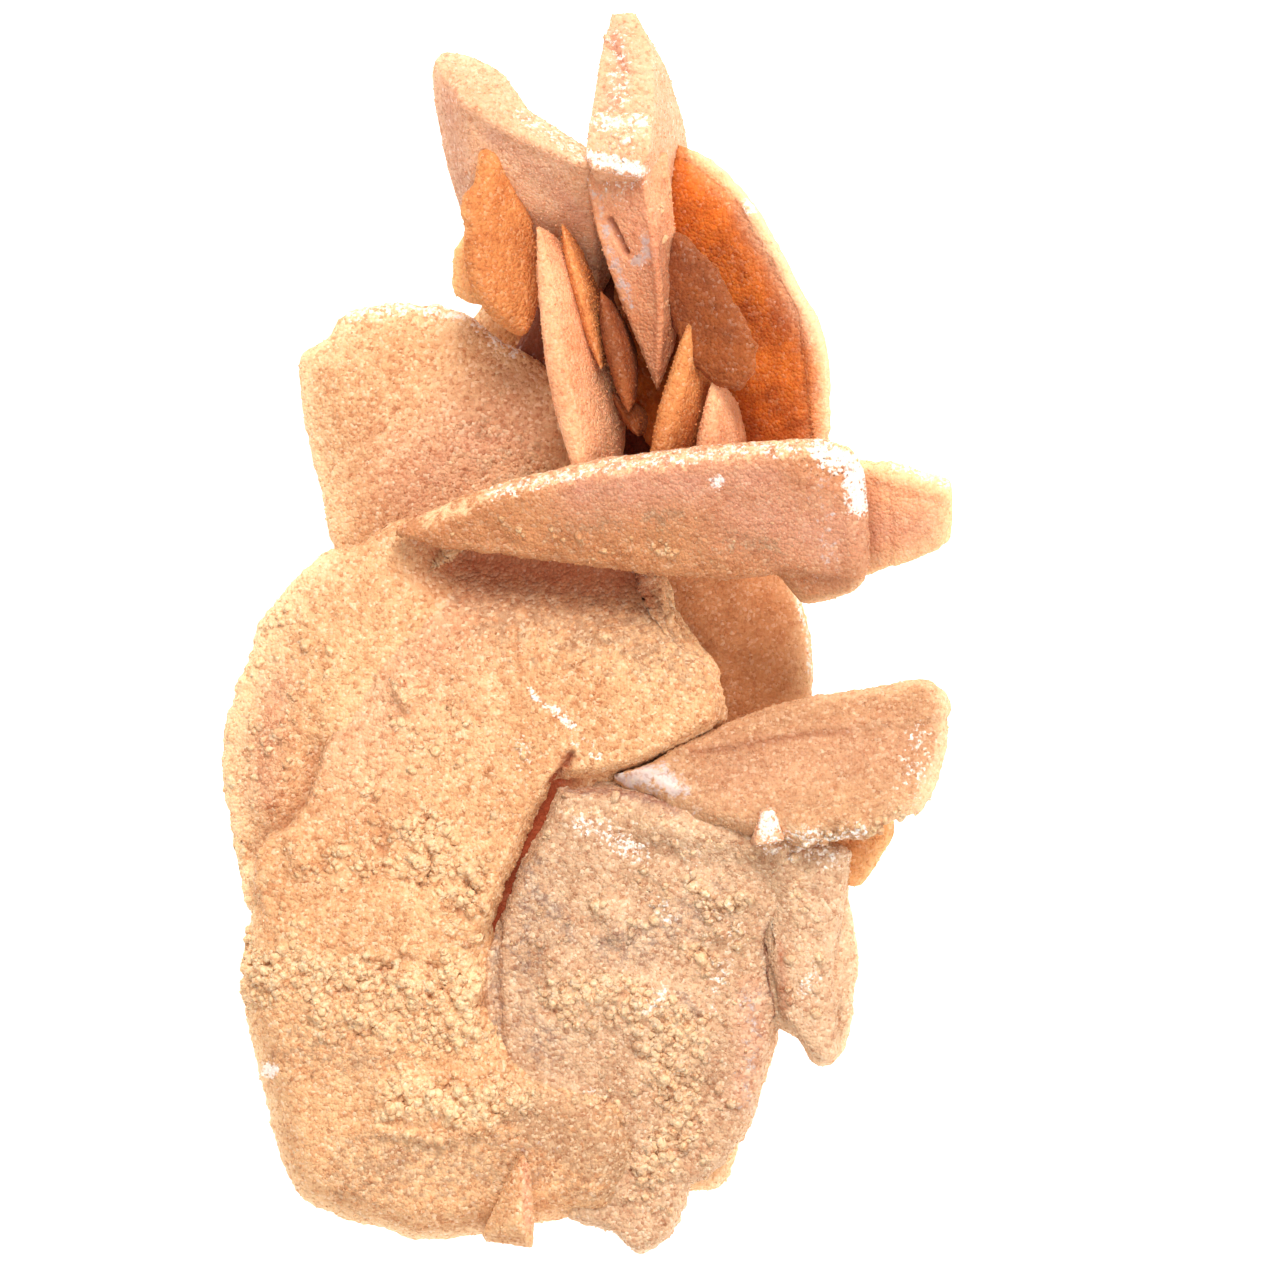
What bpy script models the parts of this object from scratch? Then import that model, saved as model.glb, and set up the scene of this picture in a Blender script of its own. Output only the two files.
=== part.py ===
"""A gypsum sand rose lying on its back: lens-shaped blades that grew through each other, as one solid.

Lengths are in millimetres until a mesh is made. +X is the rose's right, +Y its crown, +Z its front.
ORIGIN is the middle of the ground it covers.
"""

import math
from dataclasses import dataclass

import bmesh
import bpy
from mathutils import Vector

# Driving dimensions
MM = 0.001
ORIGIN = Vector((-0.248, -0.174, -6.0))
ROSE_WIDTH = 92.0
ROSE_LENGTH = 156.0
FLOOR_DEPTH = 20.0
FIN_CORNERS = 7
FIN_FULLNESS = 0.6
FIN_SLOPE = 1.0 / 3.0
DISC_CORNERS = 14
DISC_LOBES = 3.0
DISC_WAVE = 0.05
SLOPE_SHARE = 0.6
SHOULDER_SHARE = 0.86

SAND_COLOUR = (0.73, 0.44, 0.22, 1.0)
SAND_ROUGHNESS = 0.85


@dataclass(frozen=True)
class Blade:
    """A crystal blade: an outline in its own plane, thick in the middle and thin at the rim."""

    name: str
    outline: tuple
    origin: Vector
    along: Vector
    across: Vector
    middle: float
    rim: float
    slope: float

    def place(self, corner):
        """A point of the blade's middle plane."""
        return self.origin + corner[0] * self.along + corner[1] * self.across

    def fill(self, shape):
        """Adds the blade's closed surface to a mesh in the making."""
        normal = self.along.cross(self.across).normalized()
        rim = [self.place(corner) for corner in self.outline]
        heart = sum(rim, Vector()) / len(rim)
        shoulder = []
        for point in rim:
            inward = heart - point
            shoulder.append(point + inward.normalized() * min(self.slope, SLOPE_SHARE * inward.length))
        sides = []
        for way in (1.0, -1.0):
            half = normal * way / 2.0
            sides.append(
                (
                    [add_point(shape, point + half * self.rim) for point in rim],
                    [add_point(shape, point + half * self.middle * SHOULDER_SHARE) for point in shoulder],
                    add_point(shape, heart + half * self.middle),
                )
            )
        count = len(rim)
        for first in range(count):
            second = (first + 1) % count
            front, back = sides[0][0], sides[1][0]
            shape.faces.new((front[first], front[second], back[second], back[first]))
            for outer, inner, centre in sides:
                shape.faces.new((outer[first], outer[second], inner[second], inner[first]))
                shape.faces.new((inner[first], inner[second], centre))


@dataclass(frozen=True)
class Block:
    """A thick crystal with flat faces: the closed hull of its corners."""

    name: str
    corners: tuple

    def fill(self, shape):
        """Adds the block's closed surface to a mesh in the making."""
        for corner in self.corners:
            add_point(shape, Vector(corner))
        hull = bmesh.ops.convex_hull(shape, input=shape.verts)
        loose = [item for item in hull["geom_interior"] if isinstance(item, bmesh.types.BMVert)]
        bmesh.ops.delete(shape, geom=loose, context="VERTS")


def add_point(shape, place):
    """A mesh corner at a place in millimetres."""
    return shape.verts.new((place - ORIGIN) * MM)


def plate(name, outline, height, lean, middle, rim, slope):
    """A blade that faces the front, with its height at x = 0, y = 0 and its lean for each millimetre."""
    return Blade(
        name=name,
        outline=outline,
        origin=Vector((0.0, 0.0, height)),
        along=Vector((1.0, 0.0, lean[0])),
        across=Vector((0.0, 1.0, lean[1])),
        middle=middle,
        rim=rim,
        slope=slope,
    )


def fin(name, tip, foot, lean, bulge, depth, middle, rim):
    """A blade that stands edge-on: its front edge runs from tip to foot and it reaches back by depth."""
    tip = Vector(tip)
    run = Vector(foot) - tip
    length = run.length
    outline = []
    for step in range(FIN_CORNERS + 1):
        share = step / FIN_CORNERS
        outline.append((share * length, -bulge * math.sin(math.pi * share)))
    for step in range(1, FIN_CORNERS):
        share = 1.0 - step / FIN_CORNERS
        outline.append((share * length, depth * math.sin(math.pi * share) ** FIN_FULLNESS))
    return Blade(
        name=name,
        outline=tuple(outline),
        origin=tip,
        along=run.normalized(),
        across=Vector((lean[0], lean[1], -1.0)).normalized(),
        middle=middle,
        rim=rim,
        slope=depth * FIN_SLOPE,
    )


def disc(name, centre, radii, height, lean, middle, rim, slope):
    """A round plate about a centre."""
    outline = []
    for step in range(DISC_CORNERS):
        turn = math.tau * step / DISC_CORNERS
        wave = 1.0 + DISC_WAVE * math.sin(DISC_LOBES * turn + centre[1])
        outline.append((radii[0] * wave * math.cos(turn), radii[1] * wave * math.sin(turn)))
    return Blade(
        name=name,
        outline=tuple(outline),
        origin=Vector((centre[0], centre[1], height)),
        along=Vector((1.0, 0.0, lean[0])),
        across=Vector((0.0, 1.0, lean[1])),
        middle=middle,
        rim=rim,
        slope=slope,
    )


def crown():
    """The blades that fan out at the top, round a dark hollow."""
    return [
        Block(
            "left_wing",
            (
                (-19.2, 66.0, 28.0), (-18.6, 63.0, 27.0), (-17.5, 58.0, 25.0), (-16.0, 53.0, 23.0),
                (-15.3, 66.0, 35.5), (-14.2, 57.0, 31.0), (0.0, 58.3, 38.0), (-8.6, 66.2, 32.0),
                (0.6, 60.0, 35.0), (-12.5, 43.0, 17.0), (2.0, 38.0, 14.0), (6.0, 50.0, 16.0),
                (-17.5, 66.0, 22.0), (-9.0, 66.0, 23.0), (4.0, 57.0, 22.0), (-12.0, 50.0, 11.0),
                (2.0, 44.0, 8.0),
            ),
        ),
        Block(
            "wing_end",
            (
                (-19.0, 71.6, 29.0), (-17.8, 72.7, 28.5), (-15.3, 72.3, 29.5), (-12.0, 70.9, 30.5),
                (-10.2, 69.6, 31.5), (-9.3, 67.4, 33.0), (-19.4, 69.5, 28.0), (-19.0, 65.0, 27.5),
                (-15.4, 66.2, 35.8), (-12.0, 65.6, 36.0), (-17.8, 69.0, 32.0), (-18.0, 60.0, 26.0),
                (-10.0, 60.0, 30.0), (-17.5, 71.0, 23.0), (-10.5, 69.0, 24.0), (-14.0, 60.0, 18.0),
            ),
        ),
        Block(
            "spire",
            (
                (3.0, 77.4, 30.0), (6.0, 77.5, 30.0), (2.2, 74.0, 33.0), (7.5, 74.5, 33.0),
                (1.3, 70.0, 36.0), (8.2, 70.0, 36.5), (0.8, 65.0, 39.0), (8.2, 64.5, 40.0),
                (-0.3, 59.4, 41.0), (0.5, 57.6, 41.0), (6.7, 56.8, 42.0), (7.7, 60.0, 42.0),
                (10.0, 70.5, 26.0), (11.9, 65.0, 21.0), (12.6, 61.6, 18.0), (13.0, 50.0, 10.0),
                (5.0, 72.0, 20.0), (3.0, 58.0, 12.0), (4.0, 48.0, 10.0),
            ),
        ),
        Block(
            "spire_foot",
            (
                (6.9, 57.0, 40.0), (8.2, 50.0, 38.5), (8.8, 45.0, 37.5), (9.2, 40.0, 36.0),
                (9.0, 36.0, 34.5), (8.8, 31.0, 32.5), (-0.4, 58.0, 36.0), (0.2, 55.0, 35.5),
                (1.2, 50.0, 34.5), (2.8, 45.0, 33.5), (5.0, 40.0, 33.0), (6.5, 36.0, 32.5),
                (8.7, 30.2, 31.5), (10.0, 60.0, 34.0), (10.6, 55.0, 33.0), (11.0, 50.0, 32.0),
                (11.4, 45.0, 31.0), (11.6, 40.0, 30.5), (11.0, 35.5, 30.5), (9.5, 31.5, 31.0),
                (1.0, 56.0, 24.0), (9.0, 58.0, 22.0), (5.0, 42.0, 24.0), (10.0, 40.0, 24.0),
                (8.0, 33.0, 28.0),
            ),
        ),
        plate(
            "left_leaf",
            (
                (-12.0, 61.0), (-10.5, 59.0), (-9.5, 55.5), (-7.0, 51.0), (-6.0, 41.5), (-8.0, 36.5),
                (-12.0, 39.5), (-14.2, 42.5), (-15.0, 46.5), (-15.5, 54.0), (-13.8, 56.0), (-13.5, 59.5),
            ),
            height=22.5, lean=(-0.85, 0.0), middle=4.0, rim=1.8, slope=3.0,
        ),
        plate(
            "far_left_leaf",
            (
                (-15.0, 50.0), (-16.8, 47.5), (-16.8, 42.5), (-14.0, 40.8), (-8.0, 41.0), (-7.0, 49.0),
                (-11.0, 52.0),
            ),
            height=18.0, lean=(-0.4, 0.0), middle=4.0, rim=1.6, slope=3.0,
        ),
        fin("long_finger", (-6.0, 50.8, 34.0), (-0.8, 20.5, 38.5), (0.35, 0.0), 2.8, 16.0, 4.4, 2.0),
        fin("thin_finger", (-3.2, 51.0, 33.0), (1.8, 32.5, 35.0), (0.15, 0.0), 0.8, 12.0, 2.4, 1.3),
        fin("short_finger", (1.7, 42.5, 34.0), (5.2, 27.5, 36.0), (0.15, 0.0), 1.2, 12.0, 3.4, 1.7),
        fin("stub_finger", (3.0, 30.0, 31.0), (6.4, 24.5, 32.0), (0.3, 0.0), 0.5, 8.0, 2.2, 1.2),
        fin("right_finger", (13.2, 39.8, 35.0), (8.6, 20.5, 39.5), (0.2, 0.0), 0.8, 16.0, 4.4, 2.0),
        fin("low_finger", (15.6, 31.7, 35.0), (14.4, 21.0, 40.0), (0.2, 0.0), 0.5, 14.0, 4.0, 2.0),
        plate(
            "right_leaf",
            (
                (11.0, 50.2), (12.7, 49.2), (15.0, 46.5), (17.2, 43.5), (19.0, 40.5), (20.5, 37.5),
                (21.0, 36.0), (20.6, 32.5), (18.9, 29.8), (16.2, 30.6), (12.0, 34.0), (9.0, 44.5),
            ),
            height=30.0, lean=(0.45, -0.05), middle=3.6, rim=1.6, slope=3.0,
        ),
        plate(
            "right_wing",
            (
                (9.0, 61.5), (12.5, 60.6), (15.2, 59.0), (18.2, 56.3), (20.5, 54.0), (22.5, 50.2),
                (25.0, 46.0), (26.4, 43.0), (28.2, 40.0), (29.5, 36.2), (30.2, 32.8), (30.0, 24.0),
                (27.0, 17.0), (18.0, 14.0), (8.0, 22.0), (3.0, 38.0), (5.0, 54.0),
            ),
            height=12.0, lean=(0.55, 0.1), middle=5.5, rim=2.4, slope=4.0,
        ),
        disc("crown_heart", (8.0, 30.0), (17.0, 20.0), 13.0, (0.0, 0.1), 12.0, 3.0, 9.0),
    ]


def middle_blades():
    """The long shelf across the front and the plates behind it."""
    return [
        plate(
            "back_plate",
            (
                (-36.3, 35.0), (-32.3, 37.0), (-31.3, 39.2), (-29.5, 40.6), (-26.0, 41.2), (-21.0, 41.2),
                (-15.0, 40.0), (-12.0, 37.5), (-7.0, 34.5), (2.0, 28.0), (6.0, 16.0), (2.0, 4.0),
                (-12.0, -2.0), (-26.0, 2.0), (-32.0, 10.5), (-33.0, 16.5), (-34.3, 21.0), (-35.6, 27.0),
            ),
            height=19.0, lean=(0.06, -0.05), middle=8.0, rim=2.2, slope=9.0,
        ),
        plate(
            "shelf",
            (
                (-24.4, 12.6), (-21.0, 14.3), (-15.0, 16.7), (-9.0, 18.8), (-3.0, 20.2), (3.0, 21.4),
                (9.5, 22.2), (15.5, 22.7), (21.5, 23.4), (26.5, 23.7), (30.0, 23.6), (32.3, 22.9),
                (33.6, 21.9), (34.2, 19.8), (34.7, 14.4), (34.9, 8.0), (34.4, 6.0), (33.0, 5.0),
                (27.0, 3.6), (25.6, 5.5), (24.0, 7.5), (18.5, 7.0), (11.0, 7.5), (3.4, 8.3), (-8.5, 10.0),
                (-17.2, 10.9),
            ),
            height=30.0, lean=(0.2, 0.42), middle=6.0, rim=2.0, slope=5.0,
        ),
        plate(
            "shelf_tail",
            (
                (30.0, 21.5), (37.5, 21.0), (41.0, 20.0), (44.5, 18.9), (45.4, 18.2), (45.4, 14.5),
                (44.8, 11.4), (41.0, 9.5), (35.0, 7.4), (28.0, 6.0), (20.0, 9.0), (18.0, 16.0),
                (22.0, 20.0),
            ),
            height=26.0, lean=(0.12, 0.5), middle=5.5, rim=2.4, slope=4.0,
        ),
        plate(
            "right_disc",
            (
                (22.0, 10.5), (24.5, 7.5), (26.0, 5.3), (27.3, 2.4), (27.9, -0.5), (28.2, -4.2),
                (28.0, -9.0), (24.0, -14.0), (14.0, -16.0), (4.0, -12.0), (0.0, 0.0), (4.0, 12.0),
                (14.0, 15.0),
            ),
            height=21.5, lean=(-0.15, -0.1), middle=7.0, rim=2.2, slope=6.0,
        ),
    ]


def lower_blades():
    """The broad crusted plates of the foot and the broken blades on its right."""
    return [
        plate(
            "broad_plate",
            (
                (-24.0, 14.0), (-26.0, 12.5), (-28.5, 11.0), (-33.0, 9.8), (-36.8, 6.5), (-40.5, 2.0),
                (-43.2, -5.5), (-45.4, -12.0), (-45.8, -18.0), (-44.6, -24.0), (-43.8, -30.0),
                (-42.0, -36.0), (-34.0, -42.0), (-20.0, -42.0), (-12.0, -34.0), (10.0, -16.0),
                (18.0, -11.5), (16.0, -4.0), (11.0, 3.0), (6.0, 10.0), (-6.0, 15.0),
            ),
            height=27.5, lean=(0.08, 0.03), middle=9.0, rim=2.4, slope=12.0,
        ),
        plate(
            "front_layer",
            (
                (-30.0, -2.0), (-35.0, -14.0), (-36.8, -20.5), (-40.0, -24.0), (-41.2, -27.0),
                (-41.6, -31.0), (-40.0, -37.0), (-30.0, -43.0), (-15.0, -42.0), (-11.6, -36.5),
                (-10.4, -31.0), (-8.6, -26.0), (-6.5, -21.8), (-4.0, -18.0), (2.5, -17.4), (6.0, -16.5),
                (10.0, -15.0), (13.0, -13.6), (16.2, -11.8), (17.1, -9.0), (16.6, -5.2), (14.5, -2.4),
                (12.0, -0.5), (10.5, 4.5), (4.0, 11.0), (-10.0, 12.0), (-22.0, 8.0),
            ),
            height=28.2, lean=(0.03, -0.02), middle=9.0, rim=5.0, slope=6.0,
        ),
        plate(
            "foot_plate",
            (
                (-41.0, -33.0), (-42.6, -38.0), (-43.4, -44.5), (-42.2, -50.0), (-40.6, -56.5),
                (-39.2, -62.5), (-38.0, -67.0), (-36.0, -70.5), (-33.4, -72.0), (-29.0, -73.9),
                (-25.7, -74.4), (-22.0, -75.8), (-18.5, -76.0), (-13.0, -75.1), (-3.0, -73.2),
                (4.0, -73.0), (9.0, -60.0), (6.0, -44.0), (-6.0, -32.0), (-24.0, -27.0),
            ),
            height=33.5, lean=(0.08, 0.12), middle=12.0, rim=2.4, slope=10.0,
        ),
        plate(
            "right_block",
            (
                (-3.2, -18.4), (4.0, -19.8), (11.5, -22.4), (24.0, -26.0), (27.0, -27.0), (26.0, -35.5),
                (23.8, -38.5), (23.4, -44.0), (24.2, -50.5), (22.0, -56.0), (20.6, -61.5), (16.0, -67.0),
                (13.0, -69.0), (12.5, -71.0), (10.5, -75.0), (8.5, -76.6), (6.0, -77.4), (3.2, -74.6),
                (-2.0, -73.5), (-6.0, -62.0), (-9.0, -50.0), (-10.8, -40.0), (-10.6, -34.0),
                (-8.6, -27.0), (-5.8, -21.8),
            ),
            height=28.5, lean=(0.0, 0.1), middle=15.0, rim=9.0, slope=7.0,
        ),
        plate(
            "fan",
            (
                (2.8, -18.2), (7.5, -16.6), (15.5, -12.9), (22.0, -10.0), (29.0, -8.3), (34.0, -7.7),
                (41.8, -6.2), (43.0, -6.6), (44.5, -8.4), (45.1, -13.5), (44.4, -17.5), (42.0, -21.8),
                (37.2, -23.3), (34.6, -26.0), (30.5, -26.2), (25.5, -26.1), (24.0, -25.2), (19.5, -24.7),
                (14.0, -23.3), (9.5, -21.9), (6.0, -19.8),
            ),
            height=22.4, lean=(0.05, -0.46), middle=6.0, rim=2.2, slope=4.0,
        ),
        plate(
            "fan_splinter",
            (
                (36.0, -20.0), (38.4, -23.4), (38.0, -26.0), (36.6, -28.0), (35.2, -30.6), (34.0, -31.9),
                (31.0, -31.0), (28.0, -26.0), (30.0, -20.0),
            ),
            height=28.0, lean=(0.0, 0.0), middle=5.0, rim=1.8, slope=3.0,
        ),
        plate(
            "right_strip",
            (
                (22.0, -25.0), (33.4, -26.6), (32.8, -32.0), (31.8, -35.5), (31.0, -40.0), (30.2, -43.2),
                (28.0, -46.2), (25.6, -47.8), (24.6, -42.0), (24.0, -36.0), (21.0, -32.0),
            ),
            height=28.6, lean=(0.02, 0.02), middle=7.0, rim=5.0, slope=1.6,
        ),
        plate(
            "right_lobe",
            (
                (28.0, -27.0), (32.8, -29.0), (32.5, -32.5), (33.2, -36.5), (34.0, -41.0), (33.4, -45.0),
                (33.0, -49.5), (32.0, -52.3), (30.8, -53.9), (29.4, -54.3), (28.0, -53.4), (26.4, -50.4),
                (22.0, -49.0), (18.0, -40.0), (20.0, -30.0),
            ),
            height=29.5, lean=(-0.12, 0.0), middle=7.0, rim=2.4, slope=4.0,
        ),
        plate(
            "side_flake",
            (
                (24.0, -50.6), (22.9, -53.6), (22.0, -56.4), (20.9, -60.9), (19.5, -62.1), (15.0, -62.0),
                (12.0, -52.0), (15.0, -42.0), (23.0, -42.0),
            ),
            height=23.0, lean=(0.0, 0.0), middle=8.0, rim=3.0, slope=3.0,
        ),
        plate(
            "low_flake",
            (
                (20.6, -60.8), (19.4, -62.2), (18.9, -64.5), (17.6, -68.3), (16.0, -69.8), (12.8, -70.0),
                (6.0, -70.0), (5.0, -58.0), (14.0, -52.0), (19.0, -55.0),
            ),
            height=20.0, lean=(0.0, 0.0), middle=7.0, rim=3.0, slope=3.0,
        ),
        Block(
            "tooth",
            (
                (-8.0, -64.8, 33.0), (-10.6, -69.6, 32.0), (-13.2, -75.2, 30.0), (-12.8, -76.2, 29.0),
                (-7.0, -67.0, 32.5), (-6.6, -72.8, 32.0), (-6.8, -76.8, 31.5), (-8.8, -74.0, 34.0),
                (-9.0, -67.0, 20.0), (-12.0, -75.5, 20.0), (-7.2, -75.5, 20.0),
            ),
        ),
    ]


def back_blades():
    """The blades behind, on which the rose rests."""
    return [
        disc("inner_disc", (-8.0, -36.0), (32.0, 33.0), 15.5, (0.05, 0.05), 13.0, 2.4, 12.0),
        disc("waist_disc", (2.0, 2.0), (23.0, 22.0), 13.0, (-0.1, 0.05), 12.0, 2.4, 9.0),
        disc("low_back_disc", (-7.0, -45.0), (28.0, 27.0), 5.5, (-0.16, 0.30), 8.0, 2.4, 9.0),
        disc("mid_back_disc", (-4.0, -9.0), (27.0, 24.0), 6.5, (0.14, -0.28), 8.0, 2.4, 9.0),
        disc("top_back_disc", (4.0, 29.0), (21.0, 24.0), 6.5, (0.12, 0.20), 8.0, 2.4, 9.0),
        fin("left_rest", (-37.0, -52.0, 12.0), (-10.0, -8.0, 12.0), (0.3, -0.2), 4.0, 21.0, 6.0, 2.8),
        fin("right_rest", (13.0, -66.0, 12.0), (14.0, -12.0, 12.0), (-0.25, 0.1), 4.0, 22.0, 6.0, 2.8),
        fin("top_rest", (-13.0, 12.0, 12.0), (17.0, 52.0, 14.0), (0.2, 0.25), 4.0, 21.5, 5.5, 2.8),
        fin("cross_back", (24.0, 2.0, 11.0), (-12.0, 34.0, 11.0), (-0.3, 0.3), 3.0, 14.0, 4.5, 2.2),
        fin("low_cross", (-32.0, -34.0, 10.0), (24.0, -42.0, 10.0), (0.0, 0.7), 3.0, 14.0, 4.5, 2.2),
        fin("waist_cross", (-24.0, 6.0, 12.0), (18.0, -14.0, 12.0), (0.2, -0.7), 3.0, 16.0, 4.5, 2.2),
    ]


def sand_finish():
    """The sandy honey colour of the blades."""
    finish = bpy.data.materials.new("sandy_gypsum")
    finish.use_nodes = True
    shader = finish.node_tree.nodes["Principled BSDF"]
    shader.inputs["Base Color"].default_value = SAND_COLOUR
    shader.inputs["Roughness"].default_value = SAND_ROUGHNESS
    shader.inputs["Metallic"].default_value = 0.0
    return finish


def make_object(crystal, collection):
    """One crystal as its own closed object."""
    shape = bmesh.new()
    crystal.fill(shape)
    bmesh.ops.recalc_face_normals(shape, faces=shape.faces)
    bmesh.ops.triangulate(shape, faces=shape.faces)
    mesh = bpy.data.meshes.new(crystal.name)
    shape.to_mesh(mesh)
    shape.free()
    made = bpy.data.objects.new(crystal.name, mesh)
    collection.objects.link(made)
    return made


def make_guide(made):
    """Keeps an object as a guide only."""
    made.hide_render = True
    made.display_type = "WIRE"


def floor_block(collection):
    """The room under the rose, which wears its lowest rims flat."""
    shape = bmesh.new()
    bmesh.ops.create_cube(shape, size=1.0)
    size = Vector((2.0 * ROSE_WIDTH, 2.0 * ROSE_LENGTH, FLOOR_DEPTH)) * MM
    bmesh.ops.scale(shape, vec=size, verts=shape.verts)
    bmesh.ops.translate(shape, vec=Vector((0.0, 0.0, -size.z / 2.0)), verts=shape.verts)
    mesh = bpy.data.meshes.new("floor_block")
    shape.to_mesh(mesh)
    shape.free()
    made = bpy.data.objects.new("floor_block", mesh)
    collection.objects.link(made)
    make_guide(made)
    return made


def join(rose, operation, other):
    """Adds a Boolean with an object or a whole collection."""
    step = rose.modifiers.new(operation.lower(), "BOOLEAN")
    step.operation = operation
    step.solver = "EXACT"
    if isinstance(other, bpy.types.Collection):
        step.operand_type = "COLLECTION"
        step.collection = other
    else:
        step.object = other


def shells(shape):
    """The closed surfaces of a mesh in the making, each as a list of its faces."""
    waiting = set(shape.faces)
    found = []
    while waiting:
        shell = [waiting.pop()]
        for face in shell:
            for edge in face.edges:
                for neighbour in edge.link_faces:
                    if neighbour in waiting:
                        waiting.discard(neighbour)
                        shell.append(neighbour)
        found.append(shell)
    return found


def solidify_inside(rose):
    """Applies the Booleans and fills the small pockets that the crossing blades shut in."""
    evaluated = rose.evaluated_get(bpy.context.evaluated_depsgraph_get())
    joined = bpy.data.meshes.new_from_object(evaluated)
    rose.modifiers.clear()
    rose.data = joined
    shape = bmesh.new()
    shape.from_mesh(joined)
    pockets = sorted(shells(shape), key=len)[:-1]
    for pocket in pockets:
        corners = {corner for face in pocket for corner in face.verts}
        bmesh.ops.delete(shape, geom=list(corners), context="VERTS")
    bmesh.ops.triangulate(shape, faces=shape.faces)
    shape.to_mesh(joined)
    shape.free()


def build():
    """The whole rose."""
    for old in list(bpy.data.objects):
        bpy.data.objects.remove(old)
    scene = bpy.context.scene.collection
    guides = bpy.data.collections.new("guides")
    scene.children.link(guides)
    crystals = crown() + middle_blades() + lower_blades() + back_blades()
    rose = make_object(crystals[0], scene)
    rose.name = "sand_rose"
    rose.data.materials.append(sand_finish())
    for crystal in crystals[1:]:
        make_guide(make_object(crystal, guides))
    join(rose, "UNION", guides)
    join(rose, "DIFFERENCE", floor_block(scene))
    solidify_inside(rose)


build()
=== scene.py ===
"""A gypsum sand rose lying on its back: fine crystal blades with sand and crust, in a pale studio.

Lengths are in millimetres in the rose's own frame, where +X is its right, +Y its crown and +Z its
front. They become metres when a mesh is made. ORIGIN is the middle of the ground that it covers.
"""

import logging
import math
from dataclasses import dataclass, field, replace
from enum import Enum
from typing import Optional, Union

import bmesh
import bpy
import numpy as np
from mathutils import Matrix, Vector, noise
from mathutils.bvhtree import BVHTree
from mathutils.geometry import delaunay_2d_cdt


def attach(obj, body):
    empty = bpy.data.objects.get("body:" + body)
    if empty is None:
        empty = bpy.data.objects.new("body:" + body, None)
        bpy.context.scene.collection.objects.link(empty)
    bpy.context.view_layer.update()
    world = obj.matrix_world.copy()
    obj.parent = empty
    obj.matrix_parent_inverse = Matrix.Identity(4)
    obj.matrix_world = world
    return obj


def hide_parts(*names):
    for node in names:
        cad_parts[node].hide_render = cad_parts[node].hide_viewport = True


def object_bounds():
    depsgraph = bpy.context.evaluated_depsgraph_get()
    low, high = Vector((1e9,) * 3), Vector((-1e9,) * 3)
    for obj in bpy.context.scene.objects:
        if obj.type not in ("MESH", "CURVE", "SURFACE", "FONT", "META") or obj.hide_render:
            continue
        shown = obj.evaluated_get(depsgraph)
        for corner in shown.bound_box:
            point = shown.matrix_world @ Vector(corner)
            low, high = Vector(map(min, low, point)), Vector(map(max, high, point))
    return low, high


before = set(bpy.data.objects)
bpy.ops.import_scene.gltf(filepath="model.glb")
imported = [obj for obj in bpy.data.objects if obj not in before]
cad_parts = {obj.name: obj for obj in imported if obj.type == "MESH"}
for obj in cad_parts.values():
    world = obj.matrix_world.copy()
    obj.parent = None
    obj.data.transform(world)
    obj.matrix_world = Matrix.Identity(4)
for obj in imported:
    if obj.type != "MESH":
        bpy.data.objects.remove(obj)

CAD_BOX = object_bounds()
CAD_NODE = "sand_rose"
BODY = "root"

# Where the rose and the picture lie.
MM = 0.001
ORIGIN = Vector((-0.248, -0.174, -6.0))
FRAME_WIDTH = 160.0
FRAME_CENTRE = Vector((6.625, -0.938, 27.0))

# How finely a surface is netted, and how its outline is drawn.
FINE_STEP = 0.36
PLAIN_STEP = 0.7
LEAST_CORNERS = 12
CORNER_CUT = 0.16
CORNER_ROUNDS = 2
NET_SHAKE = 0.12
NET_CLEARANCE = 0.6
SAME_POINT = 1e-6
NEVER_ZERO = 1e-9
FRONT_SHARPNESS = 3.0
HULL_SMOOTHING = 0.5
BLOCK_BAND_LEAN = 0.3

# How a blade thickens from its rim inwards, and how much glow is painted on its thin rim, as if
# light came through it.
EDGE_ROUND = 0.55
SHOULDER_SHARE = 0.86
HEART_REACH = 14.0
THIN_REACH = 2.4
FIN_THIN_REACH = 0.7
TIP_THINNING = 0.03
WAVE_HEIGHT = 0.3
BURIED_DEPTH = 1.2
OWN_THICKNESS = 5.0
THICK_RIM = 0.04
BACKED_GLOW = 0.12
FREE_GLOW = 0.88
RIM_LOOKS = ((0.0, 0.0), (1.3, 0.0), (-1.3, 0.0), (0.0, 1.3), (0.0, -1.3))

# The waves that make a rim ragged: length, share and shift of the pattern.
FRAY_WAVES = ((4.0, 1.0, 0.0), (1.1, 0.7, 9.0), (0.5, 0.4, 5.0))
FRAY_SEED = 3.7

# How fins and discs are drawn.
FIN_CORNERS = 24
FIN_FULLNESS = 0.6
FIN_SLOPE = 1.0 / 3.0
DISC_CORNERS = 56
DISC_WAVE = 0.05
DISC_LOBES = 3.0

# The sand and the crumbs. A lift or a sink is a share of their size.
GRAIN_SIZE = 0.4
SIZE_BIAS = 2.2
GRAIN_LIFT = 0.1
CRUMB_SINK = -0.12
CRUMB_KNOB = 0.6
CRUMB_BULGE = 0.9
WHITE = (1.0, 1.0, 1.0, 1.0)

Point = tuple[float, float]
Place = tuple[float, float, float]
Colour = tuple[float, float, float]
Path = tuple[Point, ...]
Socket = bpy.types.NodeSocket

log = logging.getLogger("sand_rose")


class Work(Enum):
    """What a stroke does to the front of a blade: relief first, then the finish's stain marks and
    painted shade.
    """

    GROOVE = "groove"
    MOUND = "mound"
    STEP = "step"
    CRUST = "crust"
    YELLOW = "yellow"
    POWDER = "powder"
    STAIN = "stain"
    GLASS = "glass"
    PINK = "pink"
    # Painted shade: darkens creases, grooves, hollows and the ground under the shelf.
    DARK = "dark"

    def __call__(self, width: float, amount: float, *path: Point) -> "Stroke":
        """A stroke of this kind along a path."""
        return Stroke(self, width, amount, path)


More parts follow.
